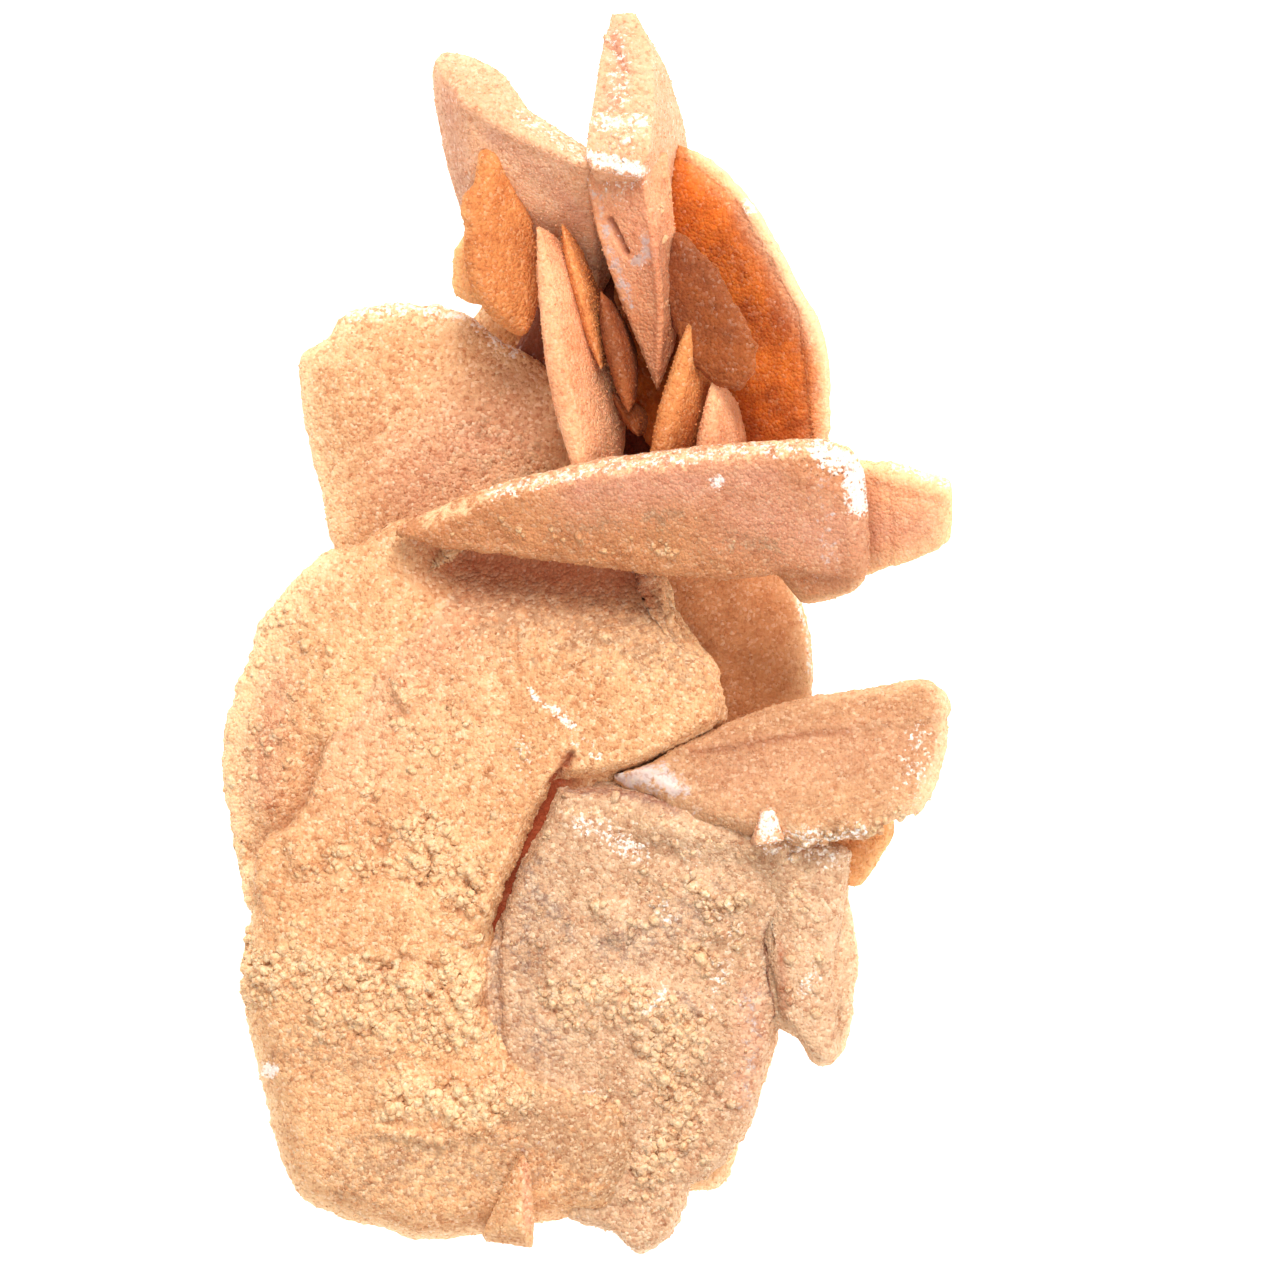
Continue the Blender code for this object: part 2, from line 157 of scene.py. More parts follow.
# The works that colour the front: stain marks of the finish, and painted shade.
STAINS_AND_SHADE = (Work.CRUST, Work.YELLOW, Work.POWDER, Work.STAIN, Work.GLASS, Work.PINK, Work.DARK)


class Tone(Enum):
    """The colour family that a blade belongs to."""

    HONEY = "honey_sand"
    AMBER = "amber_sand"
    VIVID = "vivid_orange"
    BROWN = "brown_sand"
    ROSY = "rosy_sand"
    PALE = "pale_sand"
    TAN = "tan_sand"
    FAWN = "fawn_sand"
    PEACH = "peach_sand"


SPARSE_TONES = (Tone.BROWN, Tone.VIVID)
SPARSE_SHARE = 0.35


class Draw(Enum):
    """The seed of each chance number that a grain is given."""

    TONE = 3
    SIZE = 5
    TURN = 7
    STRETCH = 9
    CRUMB = 11


@dataclass(frozen=True)
class Stroke:
    """A worked place on the front: a soft band along a path, seen from the front.

    width is its half width. amount is a height in millimetres for relief, and a share for a stain
    or for painted shade.
    """

    work: Work
    width: float
    amount: float
    path: Path

    def strength(self, places: np.ndarray) -> np.ndarray:
        """How strong the stroke is at each place.

        Args:
            places: Front positions, one row each.

        Returns:
            The amount at each place, fading out across the band.
        """
        nearest, side = distance_to_path(places, np.array(self.path, float), closed=False)
        if self.work is Work.STEP:
            ramp = np.clip(side * nearest / self.width * 0.5 + 0.5, 0.0, 1.0)
            return self.amount * ramp * ramp * (3.0 - 2.0 * ramp)
        return self.amount * np.exp(-((nearest / self.width) ** 2))


def distance_to_path(
    places: np.ndarray, path: np.ndarray, closed: bool
) -> tuple[np.ndarray, np.ndarray]:
    """Measures from places to a path of straight runs.

    Args:
        places: Positions in a plane, one row each.
        path: The path's corners.
        closed: True where the last corner joins the first.

    Returns:
        The distance to the nearest run, and +1 or -1 for the side that the place lies on.
    """
    if len(path) == 1:
        reach = places - path[0]
        return np.hypot(reach[:, 0], reach[:, 1]), np.ones(len(places))
    nearest = np.full(len(places), np.inf)
    side = np.ones(len(places))
    ends = np.roll(path, -1, 0) if closed else path[1:]
    for start, end in zip(path, ends):
        run = end - start
        reach = places - start
        share = np.clip(reach @ run / max(run @ run, NEVER_ZERO), 0.0, 1.0)
        gap = reach - share[:, None] * run
        distance = np.hypot(gap[:, 0], gap[:, 1])
        nearer = distance < nearest
        nearest[nearer] = distance[nearer]
        turn = run[0] * reach[:, 1] - run[1] * reach[:, 0]
        side[nearer] = np.where(turn[nearer] >= 0.0, 1.0, -1.0)
    return nearest, side


def is_inside(places: np.ndarray, outline: np.ndarray) -> np.ndarray:
    """Tells which places lie inside a closed outline.

    Args:
        places: Positions in a plane, one row each.
        outline: The outline's corners.

    Returns:
        True for each place inside.
    """
    inside = np.zeros(len(places), bool)
    for start, end in zip(outline, np.roll(outline, -1, 0)):
        crosses = (start[1] > places[:, 1]) != (end[1] > places[:, 1])
        drop = end[1] - start[1]
        if drop == 0.0:
            continue
        meets = start[0] + (places[:, 1] - start[1]) * (end[0] - start[0]) / drop
        inside ^= crosses & (places[:, 0] < meets)
    return inside


def soften(outline: np.ndarray) -> np.ndarray:
    """Cuts the corners of a closed outline, more than once.

    Args:
        outline: The outline's corners.

    Returns:
        The rounder outline's corners.
    """
    for _ in range(CORNER_ROUNDS):
        following = np.roll(outline, -1, 0)
        cut = np.empty((2 * len(outline), 2))
        cut[0::2] = outline + (following - outline) * CORNER_CUT
        cut[1::2] = following - (following - outline) * CORNER_CUT
        outline = cut
    return outline


def walk(outline: np.ndarray, step: float) -> np.ndarray:
    """Spaces points evenly along a closed outline.

    Args:
        outline: The outline's corners.
        step: The distance between points.

    Returns:
        The points, one row each.
    """
    ring = np.vstack([outline, outline[:1]])
    lengths = np.hypot(*np.diff(ring, axis=0).T)
    travelled = np.concatenate([[0.0], np.cumsum(lengths)])
    count = max(LEAST_CORNERS, round(travelled[-1] / step))
    stops = np.arange(count) * travelled[-1] / count
    return np.column_stack([np.interp(stops, travelled, ring[:, axis]) for axis in (0, 1)])


def fray(ring: np.ndarray, amount: float, seed: float) -> np.ndarray:
    """Makes an even outline ragged, as a rim grown in sand is.

    Args:
        ring: Evenly spaced points.
        amount: How far the rim wanders, in millimetres.
        seed: Shifts the pattern.

    Returns:
        The ragged points.
    """
    along = np.roll(ring, -1, 0) - np.roll(ring, 1, 0)
    outward = np.column_stack([along[:, 1], -along[:, 0]])
    outward /= np.maximum(np.hypot(*outward.T), SAME_POINT)[:, None]
    wander = np.zeros(len(ring))
    for length, share, shift in FRAY_WAVES:
        waves = [noise.noise(Vector((x / length, y / length, seed + shift))) for x, y in ring]
        wander += share * np.array(waves)
    return ring + outward * (amount * wander)[:, None]


def show(name: str, data: bpy.types.ID) -> bpy.types.Object:
    """Puts a mesh, a lamp or a camera in the scene, at the origin.

    Args:
        name: The object's name.
        data: What the object shows.

    Returns:
        The object.
    """
    made = bpy.data.objects.new(name, data)
    bpy.context.scene.collection.objects.link(made)
    return made


def as_shown(source: bpy.types.Object) -> bpy.types.Mesh:
    """A plain mesh of an object as its modifiers show it."""
    evaluated = source.evaluated_get(bpy.context.evaluated_depsgraph_get())
    return bpy.data.meshes.new_from_object(evaluated)


@dataclass
class Skin:
    """A fine closed surface in the making, with what its finish needs at each corner."""

    corners: np.ndarray
    faces: np.ndarray
    thin: np.ndarray
    inward: np.ndarray
    stains: dict[Work, np.ndarray] = field(default_factory=dict)

    def normals(self) -> np.ndarray:
        """The way that the surface faces at each corner.

        Returns:
            One unit vector for each corner.
        """
        first, second, third = (self.corners[self.faces[:, index]] for index in range(3))
        across = np.cross(second - first, third - first)
        total = np.zeros_like(self.corners)
        for axis in range(3):
            for index in range(3):
                meeting = self.faces[:, index]
                total[:, axis] += np.bincount(meeting, across[:, axis], len(self.corners))
        return total / np.maximum(np.linalg.norm(total, axis=1), NEVER_ZERO)[:, None]

    def work(self, strokes: tuple[Stroke, ...]) -> None:
        """Presses the relief into the front, and lays the stain marks and the painted shade on it.

        Args:
            strokes: The strokes, in the order in which they are made.
        """
        facing = self.normals()
        front = np.clip(facing[:, 2] * FRONT_SHARPNESS, 0.0, 1.0)
        places = self.corners[:, :2]
        lift = np.zeros(len(self.corners))
        self.stains = {stain: np.zeros(len(self.corners)) for stain in STAINS_AND_SHADE}
        for stroke in strokes:
            strength = stroke.strength(places) * front
            if stroke.work is Work.GROOVE:
                lift -= strength
            elif stroke.work in (Work.MOUND, Work.STEP):
                lift += strength
            else:
                self.stains[stroke.work] = np.maximum(self.stains[stroke.work], strength)
        self.corners = self.corners + facing * lift[:, None]

    def settle(self) -> np.ndarray:
        """Moves the skin from the rose's own frame to the ground that it lies on, in metres."""
        return (self.corners - np.array(ORIGIN)) * MM

    def to_object(self, name: str) -> bpy.types.Object:
        """Makes the skin an object in the scene.

        Args:
            name: The object's name.

        Returns:
            The object, with the skin's thinness as the share of painted rim glow, and its stain
            marks and painted shade, as attributes.
        """
        mesh = bpy.data.meshes.new(name)
        mesh.from_pydata(self.settle(), [], self.faces, shade_flat=False)
        # The share of painted rim glow: thinness, weakened where other crystals stand behind the
        # rim.
        store(mesh, "thin", self.thin * freedom(mesh, self.thin))
        store(mesh, "inward", self.inward)
        for stain, values in self.stains.items():
            store(mesh, stain.value, values)
        store(mesh, "open", openness(mesh))
        return show(name, mesh)


def store(mesh: bpy.types.Mesh, name: str, values: np.ndarray) -> None:
    """Keeps one number for each corner of a mesh, as an attribute."""
    layer = mesh.attributes.new(name, "FLOAT", "POINT")
    layer.data.foreach_set("value", np.asarray(values, np.float32))


def solid_tree() -> BVHTree:
    """Makes the whole rose's outer surface, to measure depth from.

    Returns:
        The surface, ready for rays.
    """
    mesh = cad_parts[CAD_NODE].data
    corners = [corner.co for corner in mesh.vertices]
    return BVHTree.FromPolygons(corners, [face.vertices for face in mesh.polygons])


SOLID = solid_tree()


def openness(mesh: bpy.types.Mesh) -> np.ndarray:
    """Tells which corners lie in the open, and not deep inside another crystal.

    Args:
        mesh: The mesh, in metres.

    Returns:
        1 for each corner in the open and 0 for each buried one.
    """
    shown = np.ones(len(mesh.vertices))
    for corner in mesh.vertices:
        place, facing, _, _ = SOLID.find_nearest(corner.co)
        if (corner.co - place).dot(facing) < -BURIED_DEPTH * MM:
            shown[corner.index] = 0.0
    return shown


def freedom(mesh: bpy.types.Mesh, thin: np.ndarray) -> np.ndarray:
    """Tells how free the rims stand, with nothing behind them to keep the light out. This scales
    the glow painted on thin rims.

    Args:
        mesh: The mesh, in metres.
        thin: How thin it is at each corner. Thick places aren't looked at.

    Returns:
        1 for each corner that is free, and less for one with other crystals behind it.
    """
    free = np.zeros(len(thin))
    for corner in mesh.vertices:
        if thin[corner.index] < THICK_RIM:
            continue
        clear = 0
        for x, y in RIM_LOOKS:
            start = corner.co + Vector((x, y, -OWN_THICKNESS)) * MM
            clear += SOLID.ray_cast(start, Vector((0.0, 0.0, -1.0)))[0] is None
        free[corner.index] = clear / len(RIM_LOOKS)
    return BACKED_GLOW + FREE_GLOW * free


@dataclass(frozen=True)
class Blade:
    """A crystal blade: an outline in its own plane, thick in the middle, with a worn rim.

    front_slope is how far in the front reaches its full height. Where it is 0 the blade is a lens,
    alike on both faces.
    """

    name: str
    outline: Path
    origin: Vector
    along: Vector
    across: Vector
    middle: float
    rim: float
    slope: float
    front_slope: float = 0.0
    strokes: tuple[Stroke, ...] = ()
    tone: Tone = Tone.HONEY
    step: float = FINE_STEP
    ragged: float = 0.22
    rough: float = 0.22
    lumps: float = 1.0
    thin_reach: float = THIN_REACH
    tapers: bool = False

    def taper(self, net: np.ndarray) -> np.ndarray:
        """How much of its thickness the blade keeps: a fin thins out towards both tips.

        Args:
            net: Points in the blade's own plane, one row each.

        Returns:
            The share of the thickness at each point.
        """
        if not self.tapers:
            return np.ones(len(net))
        share = np.clip(net[:, 0] / max(corner[0] for corner in self.outline), 0.0, 1.0)
        return np.sqrt(np.maximum(np.sin(math.pi * share), TIP_THINNING))

    def height(self, inward: np.ndarray, slope: float) -> np.ndarray:
        """Half the blade's thickness at a distance in from the rim.

        Args:
            inward: Distances from the rim.
            slope: How far in the blade nears its full thickness.

        Returns:
            The half thickness at each distance.
        """
        rounding = min(EDGE_ROUND, self.rim / 2.0)
        drop = 1.0 - np.clip(inward / rounding, 0.0, 1.0)
        edge = self.rim / 2.0 - rounding * (1.0 - np.sqrt(np.maximum(1.0 - drop * drop, 0.0)))
        rise = np.sin(np.clip(inward / slope, 0.0, 1.0) * math.pi / 2.0)
        shoulder = self.middle * SHOULDER_SHARE / 2.0
        swell = (self.middle / 2.0 - shoulder) * (1.0 - np.exp(-inward / HEART_REACH))
        return edge + (shoulder - self.rim / 2.0) * rise + swell

    def cap(
        self, ring: np.ndarray, rough: np.ndarray, step: float
    ) -> tuple[np.ndarray, np.ndarray, np.ndarray]:
        """Fills the outline with a fine net of triangles.

        Args:
            ring: The ragged rim's points.
            rough: The softened outline, for measuring.
            step: The net's spacing.

        Returns:
            The net's points, starting with the rim's, its triangles, and how far in each point is.
        """
        low, high = ring.min(0), ring.max(0)
        rows = np.arange(low[1], high[1], step * math.sqrt(0.75))
        columns = np.arange(low[0] - step, high[0] + step, step)
        grid_x, grid_y = np.meshgrid(columns, rows)
        grid_x = grid_x + (np.arange(len(rows)) % 2)[:, None] * step / 2.0
        chance = np.random.default_rng(len(rows))
        shake = chance.uniform(-NET_SHAKE, NET_SHAKE, (2, *grid_x.shape)) * step
        places = np.column_stack([(grid_x + shake[0]).ravel(), (grid_y + shake[1]).ravel()])
        places = places[is_inside(places, rough)]
        inward, _ = distance_to_path(places, rough, closed=True)
        kept = inward > self.ragged + step * NET_CLEARANCE
        places, inward = places[kept], inward[kept]
        net = np.vstack([ring, places])
        corners, _, triangles, sources, _, _ = delaunay_2d_cdt(
            [Vector(point) for point in net], [], [list(range(len(ring)))], 1, SAME_POINT
        )
        source = np.array([origin[0] if origin else 0 for origin in sources])
        faces = source[np.array(triangles)]
        return net, faces, np.concatenate([np.zeros(len(ring)), inward])

    def skin(self) -> Skin:
        """Makes the blade's whole surface: front, wall and back.

        Returns:
            The closed skin, with its strokes worked in.
        """
        rough = soften(np.array(self.outline, float))
        if signed_area(rough) < 0.0:
            rough = rough[::-1]
        ring = fray(walk(rough, self.step), self.ragged, len(self.name) * FRAY_SEED)
        normal = np.array(self.along.cross(self.across).normalized())
        frame_axes = np.array([self.along, self.across])
        count = len(ring)
        corners, faces, depths = [], [], []
        rims = []
        start = 0
        for way, slope in ((1.0, self.front_slope or self.slope), (-1.0, self.slope)):
            step = self.step if way > 0.0 else max(self.step, PLAIN_STEP)
            net, net_faces, inward = self.cap(ring, rough, step)
            lift = self.height(inward, slope) * self.taper(net) * way
            corners.append(np.array(self.origin) + net @ frame_axes + lift[:, None] * normal)
            faces.append(net_faces[:, ::1 if way > 0.0 else -1] + start)
            depths.append(inward)
            rims.append(np.arange(count) + start)
            start += len(net)
        wall = float(self.height(np.zeros(1), self.slope)[0]) * 2.0
        levels = max(1, round(wall / self.step))
        base = np.array(self.origin) + ring @ frame_axes
        taper = self.taper(ring)[:, None]
        rows = [rims[0]]
        for level in range(1, levels):
            corners.append(base + wall * (0.5 - level / levels) * taper * normal)
            depths.append(np.zeros(count))
            rows.append(np.arange(count) + start)
            start += count
        rows.append(rims[1])
        for upper, lower in zip(rows, rows[1:]):
            next_upper, next_lower = np.roll(upper, -1), np.roll(lower, -1)
            faces.append(np.column_stack([upper, lower, next_lower]))
            faces.append(np.column_stack([upper, next_lower, next_upper]))
        inward = np.concatenate(depths)
        # Thin near the rim: this sets where the painted rim glow lies.
        thin = np.exp(-inward / self.thin_reach)
        made = Skin(np.vstack(corners), np.vstack(faces), thin, inward)
        made.work(self.strokes)
        return made


def signed_area(outline: np.ndarray) -> float:
    """Twice the area of an outline, positive where it runs anticlockwise."""
    following = np.roll(outline, -1, 0)
    return float(np.sum(outline[:, 0] * following[:, 1] - outline[:, 1] * following[:, 0]))


@dataclass(frozen=True)
class Block:
    """A thick crystal with flat faces: one or more hulls of corners, grown together."""

    name: str
    hulls: tuple[tuple[Place, ...], ...]
    strokes: tuple[Stroke, ...] = ()
    tone: Tone = Tone.HONEY
    step: float = FINE_STEP
    rough: float = 0.2
    lumps: float = 0.6
    # How much painted rim glow the block gets everywhere.
    clear: float = 0.2

    def skin(self) -> Skin:
        """Makes the block's surface: its hulls melted into one and netted finely.

        Returns:
            The closed skin, with its strokes worked in.
        """
        shape = bmesh.new()
        for hull in self.hulls:
            corners = [shape.verts.new(Vector(corner)) for corner in hull]
            made = bmesh.ops.convex_hull(shape, input=corners)
            loose = [item for item in made["geom_interior"] if isinstance(item, bmesh.types.BMVert)]
            bmesh.ops.delete(shape, geom=loose, context="VERTS")
        bmesh.ops.recalc_face_normals(shape, faces=shape.faces)
        mesh = bpy.data.meshes.new(self.name + "_rough")
        shape.to_mesh(mesh)
        shape.free()
        rough = show(mesh.name, mesh)
        melt = rough.modifiers.new("melt", "REMESH")
        melt.mode = "VOXEL"
        melt.voxel_size = self.step
        melt.adaptivity = 0.0
        fine = as_shown(rough)
        shape = bmesh.new()
        shape.from_mesh(fine)
        every_way = {"use_axis_x": True, "use_axis_y": True, "use_axis_z": True}
        bmesh.ops.smooth_vert(shape, verts=shape.verts, factor=HULL_SMOOTHING, **every_way)
        bmesh.ops.triangulate(shape, faces=shape.faces)
        corners = np.array([corner.co for corner in shape.verts])
        faces = np.array([[corner.index for corner in face.verts] for face in shape.faces])
        shape.free()
        bpy.data.objects.remove(rough)
        bpy.data.meshes.remove(mesh)
        bpy.data.meshes.remove(fine)
        inward = corners[:, 0] + BLOCK_BAND_LEAN * corners[:, 2]
        made = Skin(corners, faces, np.full(len(corners), self.clear), inward)
        made.work(self.strokes)
        return made


Crystal = Union[Blade, Block]


NOISE = "ShaderNodeTexNoise"
CELLS = "ShaderNodeTexVoronoi"


@dataclass(frozen=True)
class Bench:
    """Makes and joins the nodes of one tree, for a finish or for a rule that shapes a mesh."""

    tree: bpy.types.NodeTree

    def node(
        self, kind: str, settings: Optional[dict] = None, values: Optional[dict] = None
    ) -> bpy.types.Node:
        """Makes any node.

        Args:
            kind: The node's type.
            settings: Its properties, set first.
            values: Its sockets' values or links, by name or number.

        Returns:
            The node.
        """
        made = self.tree.nodes.new(kind)
        for name, setting in (settings or {}).items():
            setattr(made, name, setting)
        for key, value in (values or {}).items():
            socket = made.inputs[key]
            if isinstance(value, Reading):
                value = value.socket
            if isinstance(value, Socket):
                self.tree.links.new(value, socket)
            else:
                socket.default_value = value
        return made

    def number(self, operation: str, *values: "Number") -> "Reading":
        """Joins numbers with a Math node."""
        made = self.node("ShaderNodeMath", {"operation": operation}, dict(enumerate(values)))
        return Reading(self, made.outputs[0])

    def vector(self, operation: str, values: dict) -> Socket:
        """Joins vectors with a Vector Math node."""
        return self.node("ShaderNodeVectorMath", {"operation": operation}, values).outputs[0]

    def attribute(self, name: str) -> "Reading":
        """Reads a number kept on the mesh, in a finish."""
        made = self.node("ShaderNodeAttribute", {"attribute_name": name})
        return Reading(self, made.outputs["Fac"])

    def pattern(
        self, kind: str, place: Socket, size: float, feature: Optional[str] = None, **values: float
    ) -> bpy.types.Node:
        """A texture that is read at a place in metres, with its size in millimetres."""
        settings = {"feature": feature} if feature else {}
        return self.node(kind, settings, {"Vector": place, "Scale": 1.0 / (size * MM), **values})

    def mottle(
        self, place: Socket, size: float, detail: float = 2.0, rough: float = 0.5
    ) -> "Reading":
        """A cloudy pattern from 0 to 1. rough is how strong the finer patterns on it are."""
        made = self.pattern(NOISE, place, size, Detail=detail, Roughness=rough)
        return Reading(self, made.outputs[0])

    def grains(self, place: Socket, size: float) -> bpy.types.Node:
        """A pattern of packed grains, with a distance and a chance colour for each."""
        return self.pattern(CELLS, place, size, "F1")

    def clods(self, place: Socket, size: float) -> "Reading":
        """Round lumps that run into each other, 1 on top and about 0 between them.

        Args:
            place: Where to read the pattern.
            size: The lumps' spacing in millimetres.

        Returns:
            The lumps' height.
        """
        made = self.pattern(CELLS, place, size, "SMOOTH_F1", Smoothness=0.45)
        reach = Reading(self, made.outputs["Distance"])
        return 1.0 - reach * reach * 1.8

    def swirl(self, place: Socket, size: float, amount: float, rough: float) -> Socket:
        """A shift that turns slowly from place to place.

        Args:
            place: The places, in metres.
            size: The size of a swirl, in millimetres.
            amount: How long the longest shifts are, in millimetres.
            rough: How strong the finer swirls are.

        Returns:
            The shift at each place, in metres.
        """
        made = self.pattern(NOISE, place, size, Detail=2.0, Roughness=rough)
        centred = self.vector("SUBTRACT", {0: made.outputs["Color"], 1: (0.5, 0.5, 0.5)})
        return self.vector("SCALE", {0: centred, 3: amount * MM})

    def warp(self, place: Socket, size: float, amount: float) -> Socket:
        """Shifts the places at which a pattern is read, so that it looks grown, not packed."""
        return self.vector("ADD", {0: place, 1: self.swirl(place, size, amount * 2.0, 0.6)})

    def chance(self, draw: Draw) -> "Reading":
        """A chance number from 0 to 1 for each point."""
        made = self.node("FunctionNodeRandomValue", {"data_type": "FLOAT"}, {"Seed": draw.value})
        return Reading(self, made.outputs["Value"])

    def chances(self, draw: Draw, low: float, high: float) -> Socket:
        """Three chance numbers for each point.

        Args:
            draw: What they are for, which gives them their seed.
            low: The lowest that each can be.
            high: The highest that each can be.

        Returns:
            The three numbers, as a vector.
        """
        values = {"Min": (low,) * 3, "Max": (high,) * 3, "Seed": draw.value}
        made = self.node("FunctionNodeRandomValue", {"data_type": "FLOAT_VECTOR"}, values)
        return made.outputs[0]

    def tint(
        self, share: "Number", below: "Paint", above: "Paint", mode: str = "MIX"
    ) -> Socket:
        """Lays one colour over another by a share."""
        settings = {"data_type": "RGBA", "blend_type": mode, "clamp_factor": True}
        return self.node("ShaderNodeMix", settings, {0: share, 6: below, 7: above}).outputs[2]

    def shade(self, share: "Number", below: "Paint", glaze: "Paint") -> Socket:
        """Darkens a colour by a share, with a glaze that is multiplied into it."""
        return self.tint(share, below, self.tint(1.0, below, glaze, "MULTIPLY"))


@dataclass(frozen=True)
class Reading:
    """A number that changes over the surface. Each operator of an expression adds its node."""

    bench: Bench
    socket: Socket

    def __add__(self, other: "Number") -> "Reading":
        """The sum."""
        return self.bench.number("ADD", self, other)

    __radd__ = __add__

    def __mul__(self, other: "Number") -> "Reading":
        """The product."""
        return self.bench.number("MULTIPLY", self, other)

    __rmul__ = __mul__

    def __sub__(self, other: "Number") -> "Reading":
        """The difference."""
        return self.bench.number("SUBTRACT", self, other)

    def __rsub__(self, other: "Number") -> "Reading":
        """The difference from a number."""
        return self.bench.number("SUBTRACT", other, self)

    def __pow__(self, other: "Number") -> "Reading":
        """The power."""
        return self.bench.number("POWER", self, other)

    def rise(self, low: float, high: float) -> "Reading":
        """0 below the low value, 1 above the high one, and smooth between.

        Args:
            low: The value at which the rise starts.
            high: The value at which it ends.

        Returns:
            The risen reading.
        """
        values = {"Value": self, "From Min": low, "From Max": high, "To Min": 0.0, "To Max": 1.0}
        made = self.bench.node("ShaderNodeMapRange", {"interpolation_type": "SMOOTHSTEP"}, values)
        return Reading(self.bench, made.outputs[0])


Number = Union[Reading, float]
Paint = Union[Socket, tuple[float, float, float, float]]


def paint(red: float, green: float, blue: float) -> tuple[float, float, float, float]:
    """A colour as a screen shows it, from 0 to 255, made linear for a shader.

    Args:
        red: Its red.
        green: Its green.
        blue: Its blue.

    Returns:
        The linear colour, with a full alpha.
    """
    linear = []
    for share in (red / 255.0, green / 255.0, blue / 255.0):
        linear.append(share / 12.92 if share <= 0.04045 else ((share + 0.055) / 1.055) ** 2.4)
    return (*linear, 1.0)


def blank_finish(name: str) -> tuple[bpy.types.Material, Bench]:
    """Starts a finish.

    Args:
        name: Its name.

    Returns:
        The material without any node, and the bench for its nodes.
    """
    made = bpy.data.materials.new(name)
    made.use_nodes = True
    made.node_tree.nodes.clear()
    return made, Bench(made.node_tree)


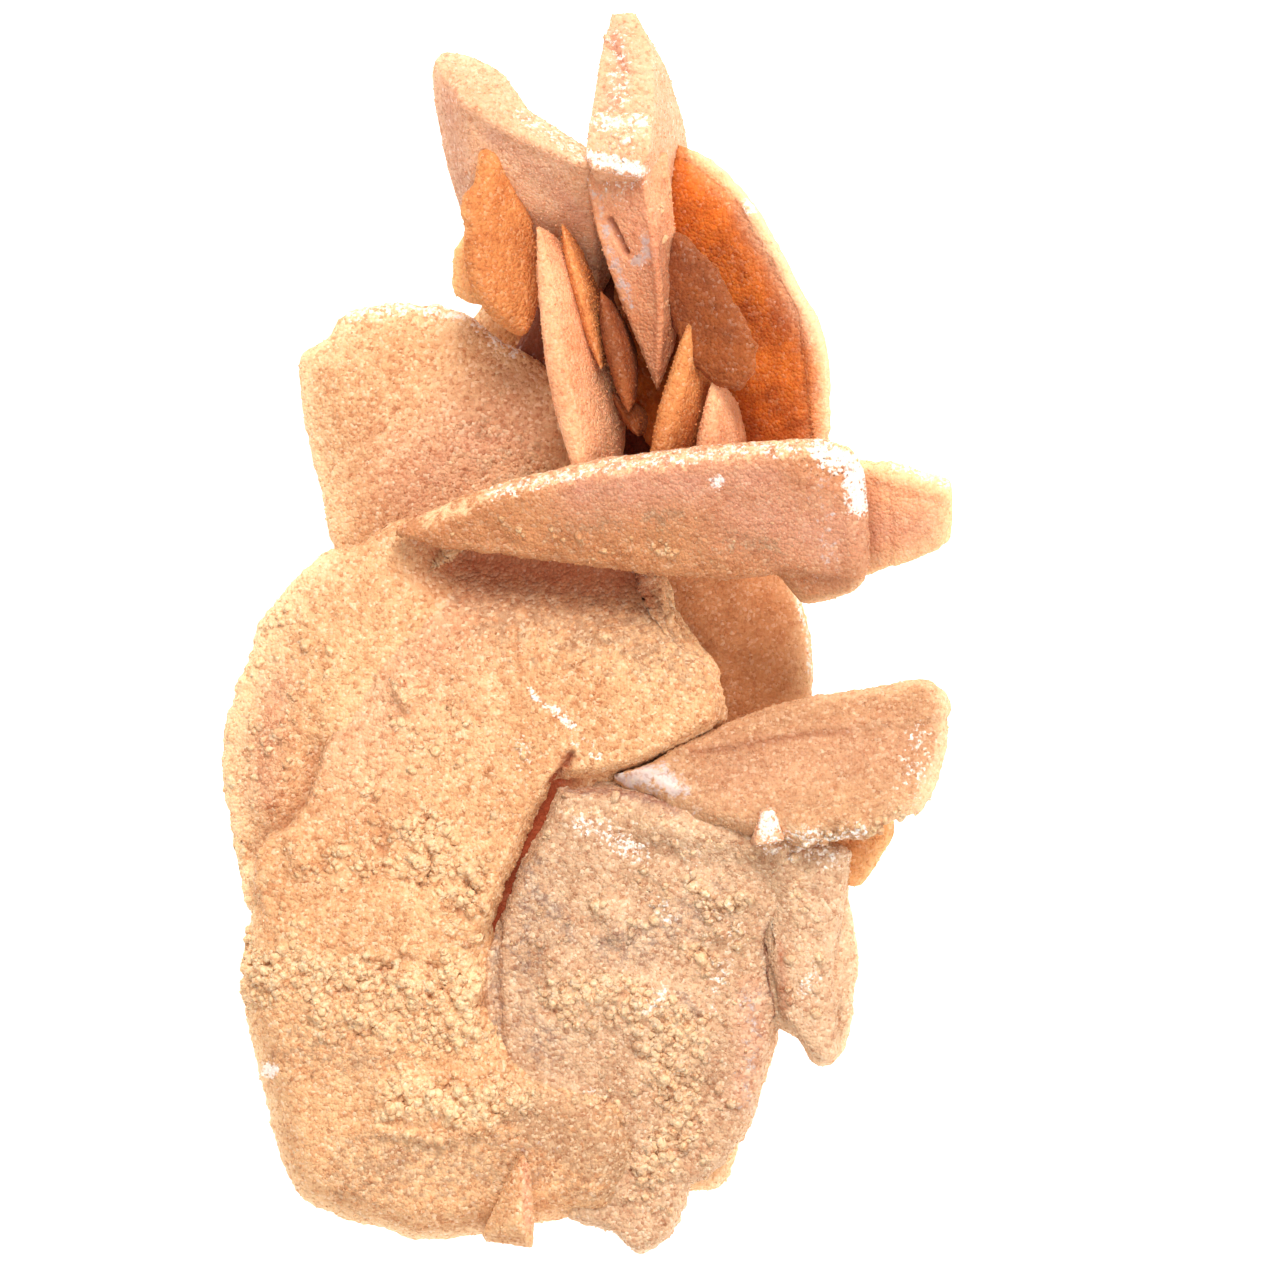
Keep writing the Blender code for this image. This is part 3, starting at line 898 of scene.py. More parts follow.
@dataclass(frozen=True)
class SandFinish:
    """Sand held in clear gypsum: a warm body that glows at its thin rims, partly by the shader's
    subsurface light and partly by a painted glow, with what lies on it.

    loose is True for the finish of single grains, which take their shade from their own chance.
    """

    tone: Tone
    deep: Colour = (206, 148, 100)
    warm: Colour = (236, 188, 138)
    # A light colour painted on thin rims as glow, and mixed into the painted highlights on raised
    # relief.
    edge: Colour = (255, 216, 168)
    rosy: Colour = (214, 152, 124)
    line: Colour = (160, 96, 58)
    crust: Colour = (238, 192, 146)
    yellow: Colour = (250, 211, 162)
    powder: Colour = (252, 244, 234)
    stain: Colour = (172, 132, 98)
    glass: Colour = (208, 190, 184)
    # The colour of painted shade in creases, grooves, hollows and under the shelf.
    dark: Colour = (150, 62, 26)
    # The glaze multiplied into hollows of the relief as painted shade.
    pit_shade_colour: Colour = (196, 136, 100)
    ruddy_glaze: Colour = (222, 164, 120)
    grain_glaze: Colour = (186, 128, 84)
    glint: Colour = (255, 246, 226)
    speckle: float = 1.0
    glow: float = 0.18
    glow_depth: float = 1.8
    glow_radius: Colour = (1.0, 0.55, 0.3)
    refraction: float = 1.52
    shine: float = 0.35
    loose_shine: float = 0.15
    bump: float = 0.7
    bump_height: float = 0.22
    loose: bool = False

    def build(self) -> bpy.types.Material:
        """Makes the finish.

        Returns:
            The material.
        """
        made, bench = blank_finish(self.tone.value + ("_grains" if self.loose else ""))
        place = bench.node("ShaderNodeTexCoord").outputs["Object"]
        grain = bench.grains(place, GRAIN_SIZE)
        chance = bench.attribute("tone") if self.loose else self.first_channel(bench, grain)
        shader = bench.node(
            "ShaderNodeBsdfPrincipled",
            {"subsurface_method": "RANDOM_WALK"},
            {
                "Base Color": self.colour(bench, place, chance),
                "Roughness": self.roughness(bench, chance),
                "Subsurface Weight": 0.0 if self.loose else self.glow,
                "Subsurface Radius": self.glow_radius,
                "Subsurface Scale": self.glow_depth * MM,
                "Specular IOR Level": self.loose_shine if self.loose else self.shine,
                "IOR": self.refraction,
            },
        )
        if not self.loose:
            dust = bench.mottle(place, 0.6, 2.0, 0.5)
            cell = Reading(bench, grain.outputs["Distance"])
            smooth = 1.0 - bench.attribute("glass") * 0.85
            height = (dust * 0.8 - cell * cell * 1.3) * smooth
            values = {"Strength": self.bump, "Distance": self.bump_height * MM, "Height": height}
            bump = bench.node("ShaderNodeBump", {}, values)
            made.node_tree.links.new(bump.outputs[0], shader.inputs["Normal"])
        bench.node("ShaderNodeOutputMaterial", {}, {"Surface": shader.outputs[0]})
        return made

    def first_channel(self, bench: Bench, grain: bpy.types.Node) -> Reading:
        """The chance value of each grain of the pattern."""
        split = bench.node("ShaderNodeSeparateColor", {}, {0: grain.outputs["Color"]})
        return Reading(bench, split.outputs[0])

    def colour(self, bench: Bench, place: Socket, chance: Reading) -> Socket:
        """The colour of the sand and of all that lies on it, with painted rim glow, painted shade
        and painted highlights.

        Args:
            bench: Where the nodes are made.
            place: Where the patterns are read.
            chance: A chance value for each grain.

        Returns:
            The colour.
        """
        broad = bench.mottle(place, 14.0, 3.0)
        cloud = bench.mottle(place, 3.2, 4.0, 0.6)
        flake = bench.mottle(place, 1.1, 3.0, 0.65)
        relief = bench.attribute("relief")
        pink = bench.attribute("pink")
        depth = bench.attribute("inward") * 0.9 + cloud * 1.1
        across = bench.node("ShaderNodeCombineXYZ", {}, {0: depth * 0.0017, 1: broad * 0.002})
        band = bench.mottle(across.outputs[0], 1.0, 3.0, 0.7).rise(0.56, 0.74)
        torn = bench.mottle(place, 1.2, 5.0, 0.75)
        layers = [
            ((broad * 0.9 + cloud * 0.8 - 0.35).rise(0.2, 0.85), self.warm),
            (pink * (cloud + 0.2), self.rosy),
            (band * (pink * 0.45 + 0.1), self.line),
            # Painted glow on thin, free rims.
            (bench.attribute("thin") ** 1.3 * 0.95, self.edge),
            (self.laid(bench, torn, "stain", 0.2) * 0.75, self.stain),
            (self.laid(bench, torn, "crust", 0.25) * 0.8, self.crust),
            (self.laid(bench, torn, "yellow", 0.2) * 0.75, self.yellow),
            (self.laid(bench, torn, "glass", 0.15) * 0.85, self.glass),
        ]
        colour = paint(*self.deep)
        for share, upper in layers:
            colour = bench.tint(share, colour, paint(*upper))
        crumb = bench.tint(chance, paint(*self.crust), paint(*self.yellow))
        colour = bench.tint(bench.attribute("crumb") * 0.6, colour, crumb)
        # Painted shade in the hollows of the relief.
        painted_pit_shade = (0.0 - relief).rise(0.08, 0.5) * 0.4
        colour = bench.shade(painted_pit_shade, colour, paint(*self.pit_shade_colour))
        pale = bench.tint(self.speckle * 0.9, paint(*self.warm), paint(*self.edge))
        # Painted highlight on raised relief.
        colour = bench.tint(relief.rise(0.06, 0.5) * 0.3 * self.speckle, colour, pale)
        colour = bench.tint((flake - 0.5).rise(0.02, 0.16) * 0.25 * self.speckle, colour, pale)
        flakes = (0.5 - flake).rise(0.02, 0.16) * 0.3 * self.speckle
        colour = bench.shade(flakes, colour, paint(*self.ruddy_glaze))
        dull = (0.3 - chance).rise(0.0, 0.3) * 0.5 * self.speckle
        colour = bench.shade(dull, colour, paint(*self.grain_glaze))
        bright = bench.tint(0.3, pale, paint(*self.glint))
        colour = bench.tint(chance.rise(0.7, 1.0) * 0.4 * self.speckle, colour, bright)
        # Painted shade where the shade strokes lie.
        painted_shade_share = bench.attribute("dark") ** 0.8 * (cloud * 0.5 + 0.75)
        colour = bench.tint(painted_shade_share, colour, paint(*self.dark))
        dusted = bench.attribute("powder")
        frost = bench.mottle(place, 0.7, 4.0, 0.7) * 1.2 + chance * 0.4 + dusted * 0.9 - 1.2
        shown = frost.rise(0.0, 0.3) * dusted.rise(0.04, 0.3) * 0.85
        return bench.tint(shown, colour, paint(*self.powder))

    def laid(self, bench: Bench, torn: Reading, name: str, soft: float) -> Reading:
        """How much of a stain shows: whole where it lies thick, in scraps where it is thin."""
        thick = bench.attribute(name)
        return (torn + thick * 0.3 - 0.66).rise(0.0, soft) * thick.rise(0.03, 0.2)

    def roughness(self, bench: Bench, chance: Reading) -> Reading:
        """Dull sand, with a few glinting grains and smoother glassy places."""
        glint = chance.rise(0.93, 0.97) * 0.5
        return 0.82 - glint - bench.attribute("glass") * 0.4


# Some finishes give their own colour of painted shade.
FINISHES = (
    SandFinish(Tone.HONEY),
    SandFinish(Tone.AMBER, (192, 110, 54), (218, 142, 80), (252, 196, 134), glow=0.3, speckle=0.6),
    SandFinish(
        Tone.VIVID, (152, 66, 16), (224, 118, 30), (252, 208, 160),
        dark=(110, 42, 16), glow=0.4, speckle=0.4,
    ),
    SandFinish(
        Tone.BROWN, (116, 52, 16), (154, 78, 28), (234, 156, 92),
        dark=(100, 34, 12), glow=0.3, speckle=0.35,
    ),
    SandFinish(Tone.ROSY, (184, 118, 72), (206, 142, 94), (252, 206, 156), glow=0.3, speckle=0.6),
    SandFinish(Tone.PALE, (226, 166, 124), (240, 190, 150), (254, 218, 180), glow=0.3, speckle=0.7),
    SandFinish(Tone.FAWN, (180, 128, 88), (208, 160, 116), (252, 208, 164), glow=0.3, speckle=0.7),
    SandFinish(
        Tone.PEACH, (224, 148, 102), (246, 184, 138), (255, 216, 162), glow=0.4, speckle=0.55
    ),
    SandFinish(Tone.TAN, (188, 144, 108), (222, 184, 148), (248, 212, 170), stain=(146, 118, 104)),
)


@dataclass
class Rule:
    """A tree of Geometry Nodes with named inputs, used on one mesh at a time."""

    name: str
    inputs: dict[str, str]

    def __post_init__(self) -> None:
        """Makes the empty tree and its sockets."""
        self.tree = bpy.data.node_groups.new(self.name, "GeometryNodeTree")
        add = self.tree.interface.new_socket
        add("Mesh", in_out="INPUT", socket_type="NodeSocketGeometry")
        add("Mesh", in_out="OUTPUT", socket_type="NodeSocketGeometry")
        self.sockets = {}
        for label, kind in self.inputs.items():
            self.sockets[label] = add(label, in_out="INPUT", socket_type=kind)
        self.bench = Bench(self.tree)
        self.start = self.bench.node("NodeGroupInput")

    def entry(self, label: str) -> Reading:
        """A named input, for use in an expression."""
        return Reading(self.bench, self.start.outputs[label])

    def end(self, geometry: Socket) -> None:
        """Closes the tree: whatever is repeated becomes real, and the finish goes on.

        Args:
            geometry: The last geometry of the tree.
        """
        real = self.bench.node("GeometryNodeRealizeInstances", {}, {0: geometry})
        values = {"Geometry": real.outputs[0], "Material": self.start.outputs["Finish"]}
        coated = self.bench.node("GeometryNodeSetMaterial", {}, values)
        self.bench.node("NodeGroupOutput", {}, {0: coated.outputs[0]})

    def keep(self, geometry: Socket, name: str, value: Number) -> Socket:
        """Keeps a number on each point, under a name.

        Args:
            geometry: The geometry to keep it on.
            name: The name it is kept under.
            value: The number.

        Returns:
            The geometry that carries it.
        """
        values = {"Geometry": geometry, "Name": name, "Value": value}
        settings = {"data_type": "FLOAT", "domain": "POINT"}
        return self.bench.node("GeometryNodeStoreNamedAttribute", settings, values).outputs[0]

    def kept(self, name: str) -> Reading:
        """Reads a number kept on each point.

        Args:
            name: The name it is kept under.

        Returns:
            The number.
        """
        settings = {"data_type": "FLOAT"}
        made = self.bench.node("GeometryNodeInputNamedAttribute", settings, {"Name": name})
        return Reading(self.bench, made.outputs["Attribute"])

    def shifted(self, geometry: Socket, offset: Socket) -> Socket:
        """The geometry with its points moved by an offset."""
        values = {"Geometry": geometry, "Offset": offset}
        return self.bench.node("GeometryNodeSetPosition", {}, values).outputs[0]

    def use(self, source: bpy.types.Object, values: dict) -> bpy.types.Mesh:
        """Runs the rule on an object.

        Args:
            source: The object that the rule reads.
            values: The named inputs' values.

        Returns:
            The result as a plain mesh. The object keeps no modifier.
        """
        step = source.modifiers.new(self.name, "NODES")
        step.node_group = self.tree
        for label, value in values.items():
            step[self.sockets[label].identifier] = value
        result = as_shown(source)
        source.modifiers.remove(step)
        return result


def weathering() -> Rule:
    """The rule that roughens a blade: slow waves, fine relief, and clods where it has crust.

    Returns:
        The rule, with its heights in millimetres.
    """
    heights = {label: "NodeSocketFloat" for label in ("Waves", "Fine", "Lumps")}
    rule = Rule("weathering", {**heights, "Finish": "NodeSocketMaterial"})
    bench = rule.bench
    place = bench.node("GeometryNodeInputPosition").outputs[0]
    grown = bench.warp(place, 1.6, 0.5)
    crust = rule.kept("crust")
    waves = (bench.mottle(place, 8.0, 2.0) - 0.5) * 2.0 * rule.entry("Waves")
    patchy = bench.mottle(place, 6.0, 2.0).rise(0.38, 0.66) * 0.7 + 0.4 + crust * 0.3
    knobs = bench.clods(grown, 1.5) * 0.6 + bench.clods(grown, 0.85) * 0.4 - 0.6
    grit = (bench.mottle(place, 0.9, 3.0, 0.6) - 0.5) * 1.3
    fine = (knobs * 0.55 + grit) * patchy * rule.entry("Fine")
    clods = bench.clods(bench.warp(place, 2.6, 1.2), 2.8) * 0.6 + bench.clods(grown, 1.2) * 0.4
    heap = (bench.mottle(place, 4.0, 4.0, 0.6) - 0.5) * 2.8
    holes = bench.mottle(place, 2.2, 3.0, 0.55).rise(0.6, 0.7) * 0.7
    lumps = crust * (clods - 0.35 + heap * 0.6 - holes) * rule.entry("Lumps")
    relief = (fine + lumps) * (1.0 - rule.kept("glass") * 0.8)
    marked = rule.keep(rule.start.outputs["Mesh"], "relief", relief)
    facing = bench.node("GeometryNodeInputNormal").outputs[0]
    offset = bench.vector("SCALE", {0: facing, 3: (waves + relief) * MM})
    rule.end(rule.shifted(marked, offset))
    return rule


def strewing(name: str, segments: int, rings: int, crumbly: bool) -> Rule:
    """The rule that strews grains or crumbs over the open parts of a blade.

    Args:
        name: The rule's name.
        segments: How many sides one grain has.
        rings: How many bands one grain has.
        crumbly: True for crumbs, which lie only on crust and are lumpy.

    Returns:
        The rule. Sizes are in millimetres, densities for a square millimetre.
    """
    labels = ("Front density", "Back density", "Smallest", "Largest")
    inputs = {label: "NodeSocketFloat" for label in labels}
    rule = Rule(name, {**inputs, "Seed": "NodeSocketInt", "Finish": "NodeSocketMaterial"})
    bench = rule.bench
    facing = bench.node("GeometryNodeInputNormal").outputs[0]
    upward = Reading(bench, bench.node("ShaderNodeSeparateXYZ", {}, {0: facing}).outputs["Z"])
    front, back = rule.entry("Front density"), rule.entry("Back density")
    wanted = upward.rise(-0.1, 0.25) * (front - back) + back
    # Few grains lie on glassy places or under painted shade.
    bare = (1.0 - rule.kept("glass") * 0.95) * (1.0 - rule.kept("dark") * 1.6).rise(0.0, 1.0)
    if crumbly:
        place = bench.node("GeometryNodeInputPosition").outputs[0]
        crusty = rule.kept("crust") + (bench.mottle(place, 3.0, 3.0) - 0.5) * 2.0
        bare = bare * crusty.rise(0.3, 0.95)
    values = {
        "Mesh": rule.start.outputs["Mesh"],
        "Density": rule.kept("open") * bare * wanted * (1.0 / MM**2),
        "Seed": rule.start.outputs["Seed"],
    }
    settings = {"distribute_method": "RANDOM"}
    strewn = bench.node("GeometryNodeDistributePointsOnFaces", settings, values)
    toned = rule.keep(strewn.outputs["Points"], "tone", bench.chance(Draw.TONE))
    low, high = rule.entry("Smallest"), rule.entry("Largest")
    wide = low + (high - low) * bench.chance(Draw.SIZE) ** SIZE_BIAS
    sized = rule.keep(toned, "grain_size", wide * MM)
    if crumbly:
        sized = rule.keep(sized, "crumb", bench.chance(Draw.CRUMB))
    size = rule.kept("grain_size")
    sit = CRUMB_SINK if crumbly else GRAIN_LIFT
    offset = bench.vector("SCALE", {0: strewn.outputs["Normal"], 3: size * sit})
    placed = rule.shifted(sized, offset)
    values = {"Segments": segments, "Rings": rings, "Radius": 0.5}
    grain = bench.node("GeometryNodeMeshUVSphere", {}, values).outputs[0]
    values = {
        "Points": placed,
        "Instance": grain,
        "Rotation": bench.chances(Draw.TURN, 0.0, math.tau),
        "Scale": bench.vector("SCALE", {0: bench.chances(Draw.STRETCH, 0.6, 1.3), 3: size}),
    }
    grains = bench.node("GeometryNodeInstanceOnPoints", {}, values).outputs[0]
    if crumbly:
        grains = bench.node("GeometryNodeRealizeInstances", {}, {0: grains}).outputs[0]
        place = bench.node("GeometryNodeInputPosition").outputs[0]
        grains = rule.shifted(grains, bench.swirl(place, CRUMB_KNOB, CRUMB_BULGE, 0.5))
        grains = bench.node("GeometryNodeSetShadeSmooth", {}, {0: grains}).outputs[0]
    rule.end(grains)
    return rule


def plate(
    name: str, outline: Path, height: float, lean: Point, centre: Point = (0, 0), **extra: object
) -> Blade:
    """A blade that faces the front.

    Args:
        name: The blade's name.
        outline: Its outline as seen from the front.
        height: Its height at its centre.
        lean: How much it rises for each millimetre to the right and to the crown.
        centre: The place that the outline is measured from.
        extra: Its thickness in the middle and at the rim, its slope, and any other field.

    Returns:
        The blade.
    """
    right, crown = lean
    return Blade(
        name=name,
        outline=outline,
        origin=Vector((*centre, height)),
        along=Vector((1.0, 0.0, right)),
        across=Vector((0.0, 1.0, crown)),
        **extra,
    )


def disc(name: str, centre: Point, radii: Point, **extra: object) -> Blade:
    """A round blade that faces the front.

    Args:
        name: The blade's name.
        centre: Its centre as seen from the front.
        radii: Its half width and half length.
        extra: What a plate needs besides.

    Returns:
        The blade.
    """
    turns = np.arange(DISC_CORNERS) * math.tau / DISC_CORNERS
    wave = 1.0 + DISC_WAVE * np.sin(DISC_LOBES * turns + centre[1])
    outline = np.column_stack([radii[0] * wave * np.cos(turns), radii[1] * wave * np.sin(turns)])
    path = tuple(map(tuple, outline))
    return plate(name, path, centre=centre, **{"step": PLAIN_STEP, **extra})


def fin(
    name: str, tip: Place, foot: Place, lean: Point, bulge: float, depth: float, **extra: object
) -> Blade:
    """A blade that stands edge-on to the front.

    Args:
        name: The blade's name.
        tip: Where its front edge starts.
        foot: Where its front edge ends.
        lean: Which way it tips as it runs back.
        bulge: How far the front edge bows forward.
        depth: How far the blade reaches back.
        extra: Its thickness in the middle and at the rim, and any other field.

    Returns:
        The blade.
    """
    start = Vector(tip)
    run = Vector(foot) - start
    shares = np.linspace(0.0, 1.0, FIN_CORNERS + 1)
    arch = np.sin(math.pi * shares)
    edge = np.column_stack([shares * run.length, -bulge * arch])
    reach = depth * np.maximum(arch, 0.0) ** FIN_FULLNESS
    back = np.column_stack([shares * run.length, reach])[-2:0:-1]
    return Blade(
        name=name,
        outline=tuple(map(tuple, np.vstack([edge, back]))),
        origin=start,
        along=run.normalized(),
        across=Vector((*lean, -1.0)).normalized(),
        slope=depth * FIN_SLOPE,
        **{"tone": Tone.AMBER, "thin_reach": FIN_THIN_REACH, "tapers": True, **extra},
    )


@dataclass
class Workshop:
    """The rules and finishes that every group of crystals shares."""

    def __post_init__(self) -> None:
        """Makes them all."""
        self.weather = weathering()
        self.sand = strewing("sanding", segments=4, rings=2, crumbly=False)
        self.crumbs = strewing("crumbling", segments=6, rings=4, crumbly=True)
        self.finishes = {finish.tone: finish.build() for finish in FINISHES}
        self.grains = {finish.tone: replace(finish, loose=True).build() for finish in FINISHES}


@dataclass
class Cluster:
    """A group of crystals, with the sand and crumbs strewn on them."""

    name: str
    front_density: float = 4.0
    back_density: float = 0.7
    crumb_density: float = 2.6
    sand_sizes: tuple[float, float] = (0.15, 0.38)
    crumb_sizes: tuple[float, float] = (0.4, 1.7)

    def crystals(self) -> list[Crystal]:
        """All of the group's crystals."""
        raise NotImplementedError

    def make(self, shop: Workshop) -> int:
        """Makes every crystal of the group with its sand and its crumbs.

        Args:
            shop: The rules and finishes.

        Returns:
            The number of triangles made.
        """
        total = 0
        for order, crystal in enumerate(self.crystals()):
            made = crystal.skin().to_object(crystal.name)
            finish = shop.finishes[crystal.tone]
            heights = {"Waves": WAVE_HEIGHT, "Fine": crystal.rough, "Lumps": crystal.lumps}
            made.data = shop.weather.use(made, {**heights, "Finish": finish})
            skin = finish_piece(made)
            sparse = crystal.tone in SPARSE_TONES
            sand = self.strew(made, shop.sand, "sand", order, shop.grains[crystal.tone], sparse)
            crumbs = 0
            if any(stroke.work is Work.CRUST for stroke in crystal.strokes):
                crumbs = self.strew(made, shop.crumbs, "crumbs", order, finish)
            report = "%s, %s: %d triangles, %d in sand, %d in crumbs"
            log.info(report, self.name, crystal.name, skin, sand, crumbs)
            total += skin + sand + crumbs
        return total

    def strew(
        self, made: bpy.types.Object, rule: Rule, kind: str, order: int,
        finish: bpy.types.Material, sparse: bool = False,
    ) -> int:
        """Strews sand or crumbs on a crystal.

        Args:
            made: The crystal's object.
            rule: The rule that strews them.
            kind: "sand" or "crumbs".
            order: The crystal's place in its group, which gives each one its own pattern.
            finish: What they are made of.
            sparse: True for a smooth blade that holds little sand.

        Returns:
            The number of their triangles.
        """
        share = SPARSE_SHARE if sparse else 1.0
        front, back = self.front_density * share, self.back_density * share
        smallest, largest = self.sand_sizes
        if kind == "crumbs":
            front, back = self.crumb_density, 0.0
            smallest, largest = self.crumb_sizes
        values = {
            "Front density": front,
            "Back density": back,
            "Smallest": smallest,
            "Largest": largest,
            "Seed": order + 1,
            "Finish": finish,
        }
        return place_loose(f"{made.name}_{kind}", rule.use(made, values))


def place_loose(name: str, mesh: bpy.types.Mesh) -> int:
    """Puts grains or crumbs in the scene as a piece of their own, if there are any.

    Args:
        name: The piece's name.
        mesh: Its mesh.

    Returns:
        The number of its triangles.
    """
    if not mesh.polygons:
        return 0
    return finish_piece(show(name, mesh))


def hold_in_box(mesh: bpy.types.Mesh) -> None:
    """Keeps a mesh within the rose's own box, which also wears its lowest rims flat on the ground.

    Args:
        mesh: The mesh, which is changed.
    """
    corners = np.empty(len(mesh.vertices) * 3, np.float32)
    mesh.vertices.foreach_get("co", corners)
    held = np.clip(corners.reshape(-1, 3), np.array(CAD_BOX[0]), np.array(CAD_BOX[1]))
    mesh.vertices.foreach_set("co", held.ravel().astype(np.float32))
    mesh.update()


def finish_piece(made: bpy.types.Object) -> int:
    """Puts a piece on the rose's body.

    Args:
        made: The piece.

    Returns:
        The number of its triangles.
    """
    hold_in_box(made.data)
    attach(made, BODY)
    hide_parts(CAD_NODE)
    made.data.calc_loop_triangles()
    return len(made.data.loop_triangles)


@dataclass
class Crown(Cluster):
    """The blades that fan out at the top, round a deep hollow in real and painted shade."""

    name: str = "crown"
    front_density: float = 3.2
    leaf_middle: float = 4.0
    leaf_rim: float = 1.6
    leaf_slope: float = 3.0
    lit_reach: float = 1.1
    finger_rim: float = 2.2
    finger_depth: float = 16.0
    slim_depth: float = 12.0

    def left_wing(self) -> Block:
        """The thick wing at the left, with its lobed end.

        Returns:
            The block, its wing and its end melted together.
        """
        hulls = (
            (
                (-19.2, 66, 28), (-18.6, 63, 27), (-17.5, 58, 25), (-16, 53, 23), (-15.3, 66, 35.5),
                (-14.2, 57, 31), (0, 58.3, 38), (-8.6, 66.2, 32), (0.6, 60, 35), (-12.5, 43, 17),
                (2, 38, 14), (6, 50, 16), (-17.5, 66, 22), (-9, 66, 23), (4, 57, 22), (-12, 50, 11),
                (2, 44, 8),
            ),
            (
                (-19, 71.6, 29), (-17.8, 72.7, 28.5), (-15.3, 72.3, 29.5), (-12, 70.9, 30.5),
                (-10.2, 69.6, 31.5), (-9.3, 67.4, 33), (-19.4, 69.5, 28), (-19, 65, 27.5),
                (-15.4, 66.2, 35.8), (-12, 65.6, 36), (-17.8, 69, 32), (-18, 60, 26), (-10, 60, 30),
                (-17.5, 71, 23), (-10.5, 69, 24), (-14, 60, 18), (-6.6, 64.4, 33.6),
            ),
        )
        strokes = (
            Work.MOUND(0.8, 0.5, (-15.3, 66), (-10, 62.6), (-4, 59.8), (-0.5, 58)),
            Work.YELLOW(2.6, 0.2, (-17.4, 70.6), (-14.5, 69.4), (-11, 68.4)),
            Work.YELLOW(2.2, 0.45, (-9, 65), (-4, 61.6), (-0.3, 59.4)),
            Work.POWDER(1.6, 0.5, (-8, 64.4), (-4, 61.8), (-0.3, 59.4)),
            Work.PINK(2.4, 1.0, (-18, 66), (-16.4, 54)),
            Work.PINK(1.2, 0.8, (-12, 62), (-5, 57), (-1, 52)),
        )
        return Block(
            "left_wing", hulls=hulls, tone=Tone.PALE, rough=0.14, clear=0.5, strokes=strokes,
        )

    def spire(self) -> Block:
        """The tall spire in the middle, with its dusted face.

        Returns:
            The block.
        """
        hulls = (
            (
                (3, 77.4, 30), (6, 77.5, 30), (2.2, 74, 33), (7.5, 74.5, 33), (1.3, 70, 36),
                (8.2, 70, 36.5), (0.8, 65, 39), (8.2, 64.5, 40), (-0.3, 59.4, 41), (0.5, 57.6, 41),
                (6.7, 56.8, 42), (7.7, 60, 42), (10, 70.5, 26), (11.9, 65, 21), (12.6, 61.6, 18),
                (13, 50, 10), (5, 72, 20), (3, 58, 12), (4, 48, 10),
            ),
        )
        strokes = (
            Work.GROOVE(0.35, 0.5, (1.2, 65.3), (4, 65), (7.4, 65.2)),
            Work.GROOVE(0.3, 0.3, (1.4, 67.8), (7, 67.3)),
            Work.GROOVE(0.3, 0.3, (1.6, 70.2), (7, 69.8)),
            Work.GROOVE(0.5, 0.4, (3.4, 73), (4.6, 70.5)),
            # Painted shade in the groove on the spire's top.
            Work.DARK(0.5, 0.3, (3.4, 74), (4.6, 70.5)),
            Work.POWDER(2.0, 0.66, (2, 63.6), (6.8, 63.4)),
            Work.POWDER(1.5, 0.8, (0.2, 59.2), (6.9, 57.4)),
            Work.POWDER(2.4, 0.45, (4, 74), (4.5, 60)),
            Work.CRUST(2.6, 0.35, (3.6, 75), (4.4, 61)),
            Work.PINK(1.4, 0.8, (3.2, 75), (4.6, 70), (3, 66)),
            Work.PINK(1.6, 0.5, (9.5, 70), (11, 63)),
            Work.POWDER(2.0, 0.36, (9.5, 70), (11.4, 61)),
        )
        return Block("spire", hulls=hulls, tone=Tone.PALE, strokes=strokes)

    def spire_foot(self) -> Block:
        """The spire's long foot, part sandy and part glassy.

        Returns:
            The block.
        """
        hulls = (
            (
                (6.9, 57, 40), (8.2, 50, 38.5), (8.8, 45, 37.5), (9.2, 40, 36), (9, 36, 34.5),
                (8.8, 31, 32.5), (-0.4, 58, 36), (0.2, 55, 35.5), (1.2, 50, 34.5), (2.8, 45, 33.5),
                (5, 40, 33), (6.5, 36, 32.5), (8.7, 30.2, 31.5), (10, 60, 34), (10.6, 55, 33),
                (11, 50, 32), (11.4, 45, 31), (11.6, 40, 30.5), (11, 35.5, 30.5), (9.5, 31.5, 31),
                (1, 56, 24), (9, 58, 22), (5, 42, 24), (10, 40, 24), (8, 33, 28),
            ),
        )
        strokes = (
            Work.GROOVE(0.35, 1.0, (2.8, 51.3), (4, 49), (4.8, 47.3)),
            # Painted shade in the slit.
            Work.DARK(0.4, 0.7, (2.8, 51.3), (4, 49), (4.8, 47.3)),
            Work.GLASS(1.2, 0.7, (0.7, 54.6), (2, 51), (3.2, 47.4), (4.6, 43.4), (5.8, 40.6)),
            Work.GLASS(1.0, 1.0, (7.2, 49.4), (7.6, 47), (6, 46.2)),
            Work.PINK(3.4, 0.55, (4, 56), (5.5, 52), (6.6, 46)),
            # Painted shade on the foot's right side.
            Work.DARK(4.0, 0.34, (10, 46), (9.4, 32)),
            Work.MOUND(0.5, 0.35, (6.9, 57), (8.2, 50), (8.8, 45), (9.2, 40), (8.9, 33)),
            Work.CRUST(1.6, 0.35, (9.6, 57), (10.2, 48), (10.4, 38)),
            Work.POWDER(1.6, 0.4, (0.6, 56.6), (5, 55), (6.8, 56)),
            Work.POWDER(2.6, 0.3, (3.6, 54), (5.4, 50), (6.6, 46)),
        )
        return Block("spire_foot", hulls=hulls, tone=Tone.PEACH, step=0.3, strokes=strokes)

